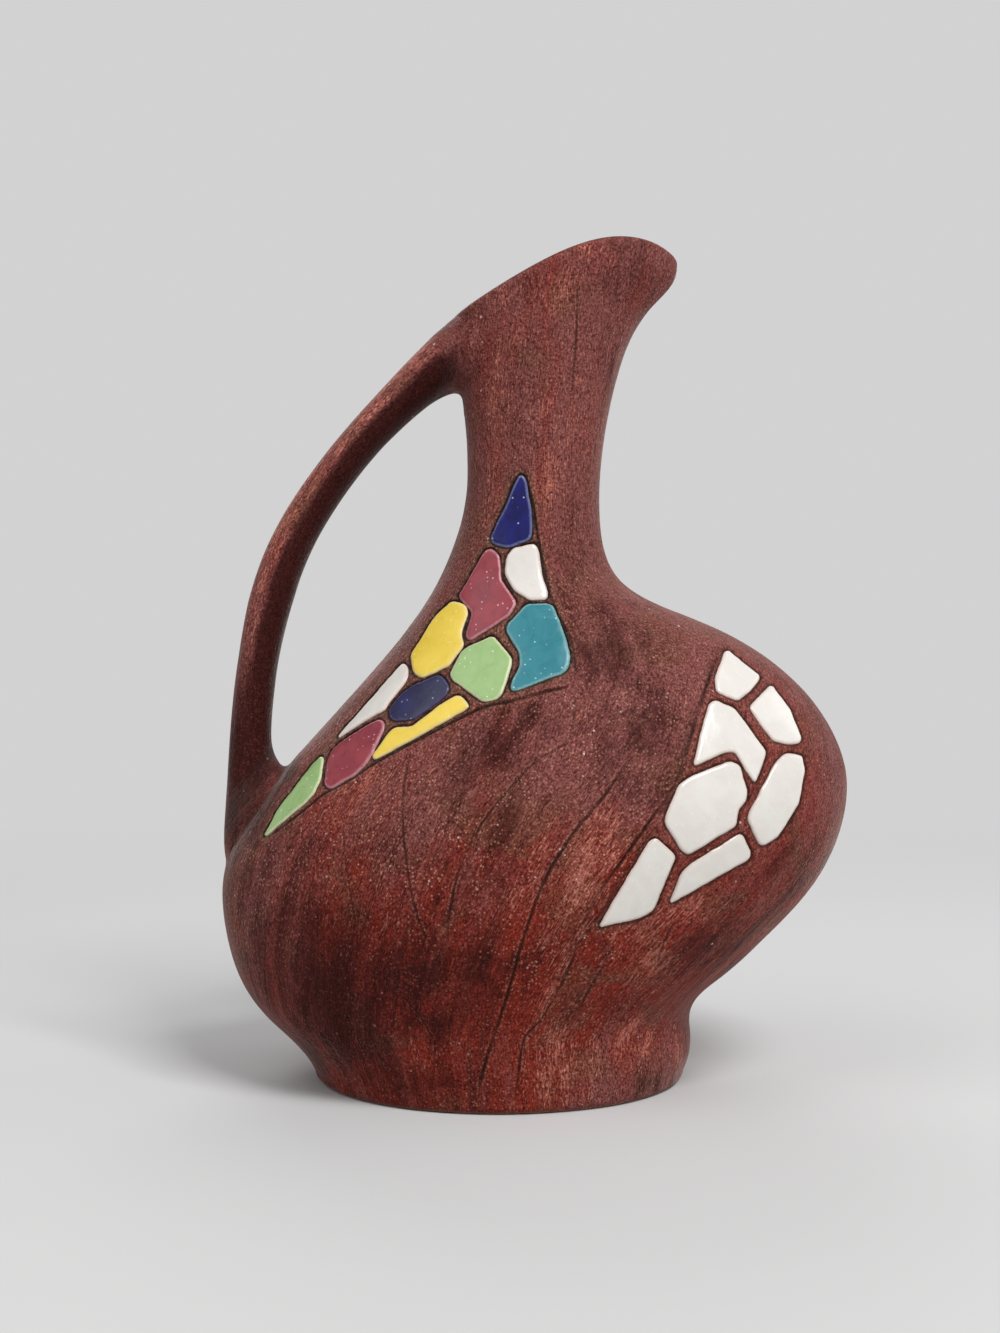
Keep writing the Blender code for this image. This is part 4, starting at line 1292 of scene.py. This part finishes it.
def make_stage():
    """A plain pale floor that fades into the background, the background and the lamps."""
    nodes = Nodes(bpy.data.materials.new("floor"))
    away = nodes.vectors("LENGTH", {0: nodes.place()})
    plain = {"Base Color": colour(FLOOR_COLOUR), "Roughness": 0.9, "Specular IOR Level": 0.1}
    glow = nodes.node("ShaderNodeEmission", {"Color": colour(BACKGROUND)}).outputs[0]
    far = nodes.times(nodes.ramp(away, *FLOOR_FADE), nodes.seen())
    nodes.output("Material Output", far, nodes.surface(plain), glow)
    turns = full_turn(FLOOR_SIDES)
    rim = np.stack([np.cos(turns), np.sin(turns), 0.0 * turns], axis=1) * FLOOR_RADIUS
    floor = mesh_object("floor", rim, [tuple(range(FLOOR_SIDES))], nodes.owner)

    world = Nodes(bpy.data.worlds.new("studio"))
    bpy.context.scene.world = world.owner
    fill = world.node("ShaderNodeBackground", {"Color": colour((255, 255, 255)), "Strength": FILL_STRENGTH})
    backdrop = world.tree.nodes["Background"]
    world.put(colour(BACKGROUND), backdrop.inputs["Color"])
    world.output("World Output", world.seen(), fill.outputs[0], backdrop.outputs[0])

    for name, place, size, power in LAMPS:
        lamp = bpy.data.lights.new(name, "AREA")
        lamp.shape, lamp.size, lamp.size_y = "RECTANGLE", *size
        lamp.energy = power
        place_object(name, lamp, place, (Vector(AIM) - Vector(place)).to_track_quat("-Z", "Y").to_euler())
    return floor


def make_camera():
    """The camera of the photograph: level, looking along +Y."""
    camera = bpy.data.cameras.new("camera")
    camera.sensor_fit = "VERTICAL"
    camera.sensor_height = SENSOR
    camera.lens = FOCAL * SENSOR / FRAME_SIZE[1]
    camera.shift_x = (FRAME_SIZE[0] / 2 - FRAME_CENTRE[0]) / FRAME_SIZE[1]
    camera.shift_y = (FRAME_CENTRE[1] - FRAME_SIZE[1] / 2) / FRAME_SIZE[1]
    camera.clip_end = 100.0
    bpy.context.scene.camera = place_object("camera", camera, CAMERA * MM, (np.pi / 2, 0.0, 0.0))


def stand_for(piece, node):
    """The piece moves with the ewer and replaces its plain node, which is hidden."""
    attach(piece, "root")
    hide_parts(node)


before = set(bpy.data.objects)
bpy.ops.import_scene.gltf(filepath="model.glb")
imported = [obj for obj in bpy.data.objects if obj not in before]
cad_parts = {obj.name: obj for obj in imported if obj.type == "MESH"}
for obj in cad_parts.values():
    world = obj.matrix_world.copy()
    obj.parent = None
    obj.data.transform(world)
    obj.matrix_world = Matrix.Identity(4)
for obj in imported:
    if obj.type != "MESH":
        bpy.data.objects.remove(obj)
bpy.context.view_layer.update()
make_camera()
make_stage()

body_loft = Loft(BODY_SECTIONS)
body_front = Front(body_loft)
fields = {**COLOURED_PANEL, **WHITE_PANEL}
line_curves, band_curves = (
    [(strength, flowing(pixels_of(points))) for strength, points in table] for table in (LINES, BANDS)
)
field_curves = [
    (OUTLINE_WHITE if name in WHITE_PANEL else 1.0, hand_cut(rounded(pixels_of(points), FIELD_CORNER)))
    for name, points in fields.items()
]
line_marks = Marks(body_front, line_curves)
band_marks = Marks(body_front, band_curves)
edge_marks = Marks(body_front, field_curves, closed=True)

clay_look = make_clay()
body = make_body(body_loft, body_front, line_marks, edge_marks, band_marks, clay_look)
stand_for(body, "body")
stand_for(make_handle(body_loft, clay_look), "handle")
stand_for(make_lining(body_loft, make_interior()), "interior_glaze")

glaze_looks = {name: make_glaze(name + "_glaze", *colours) for name, colours in GLAZES.items()}
for field_number, field_name in enumerate(fields):
    glaze_name = field_name.split("_")[0]
    field = make_field(body_front, edge_marks, field_number, field_name, glaze_looks[glaze_name])
    stand_for(field, "glaze_" + field_name)

bpy.context.scene.view_settings.view_transform = "Standard"
bpy.context.view_layer.update()
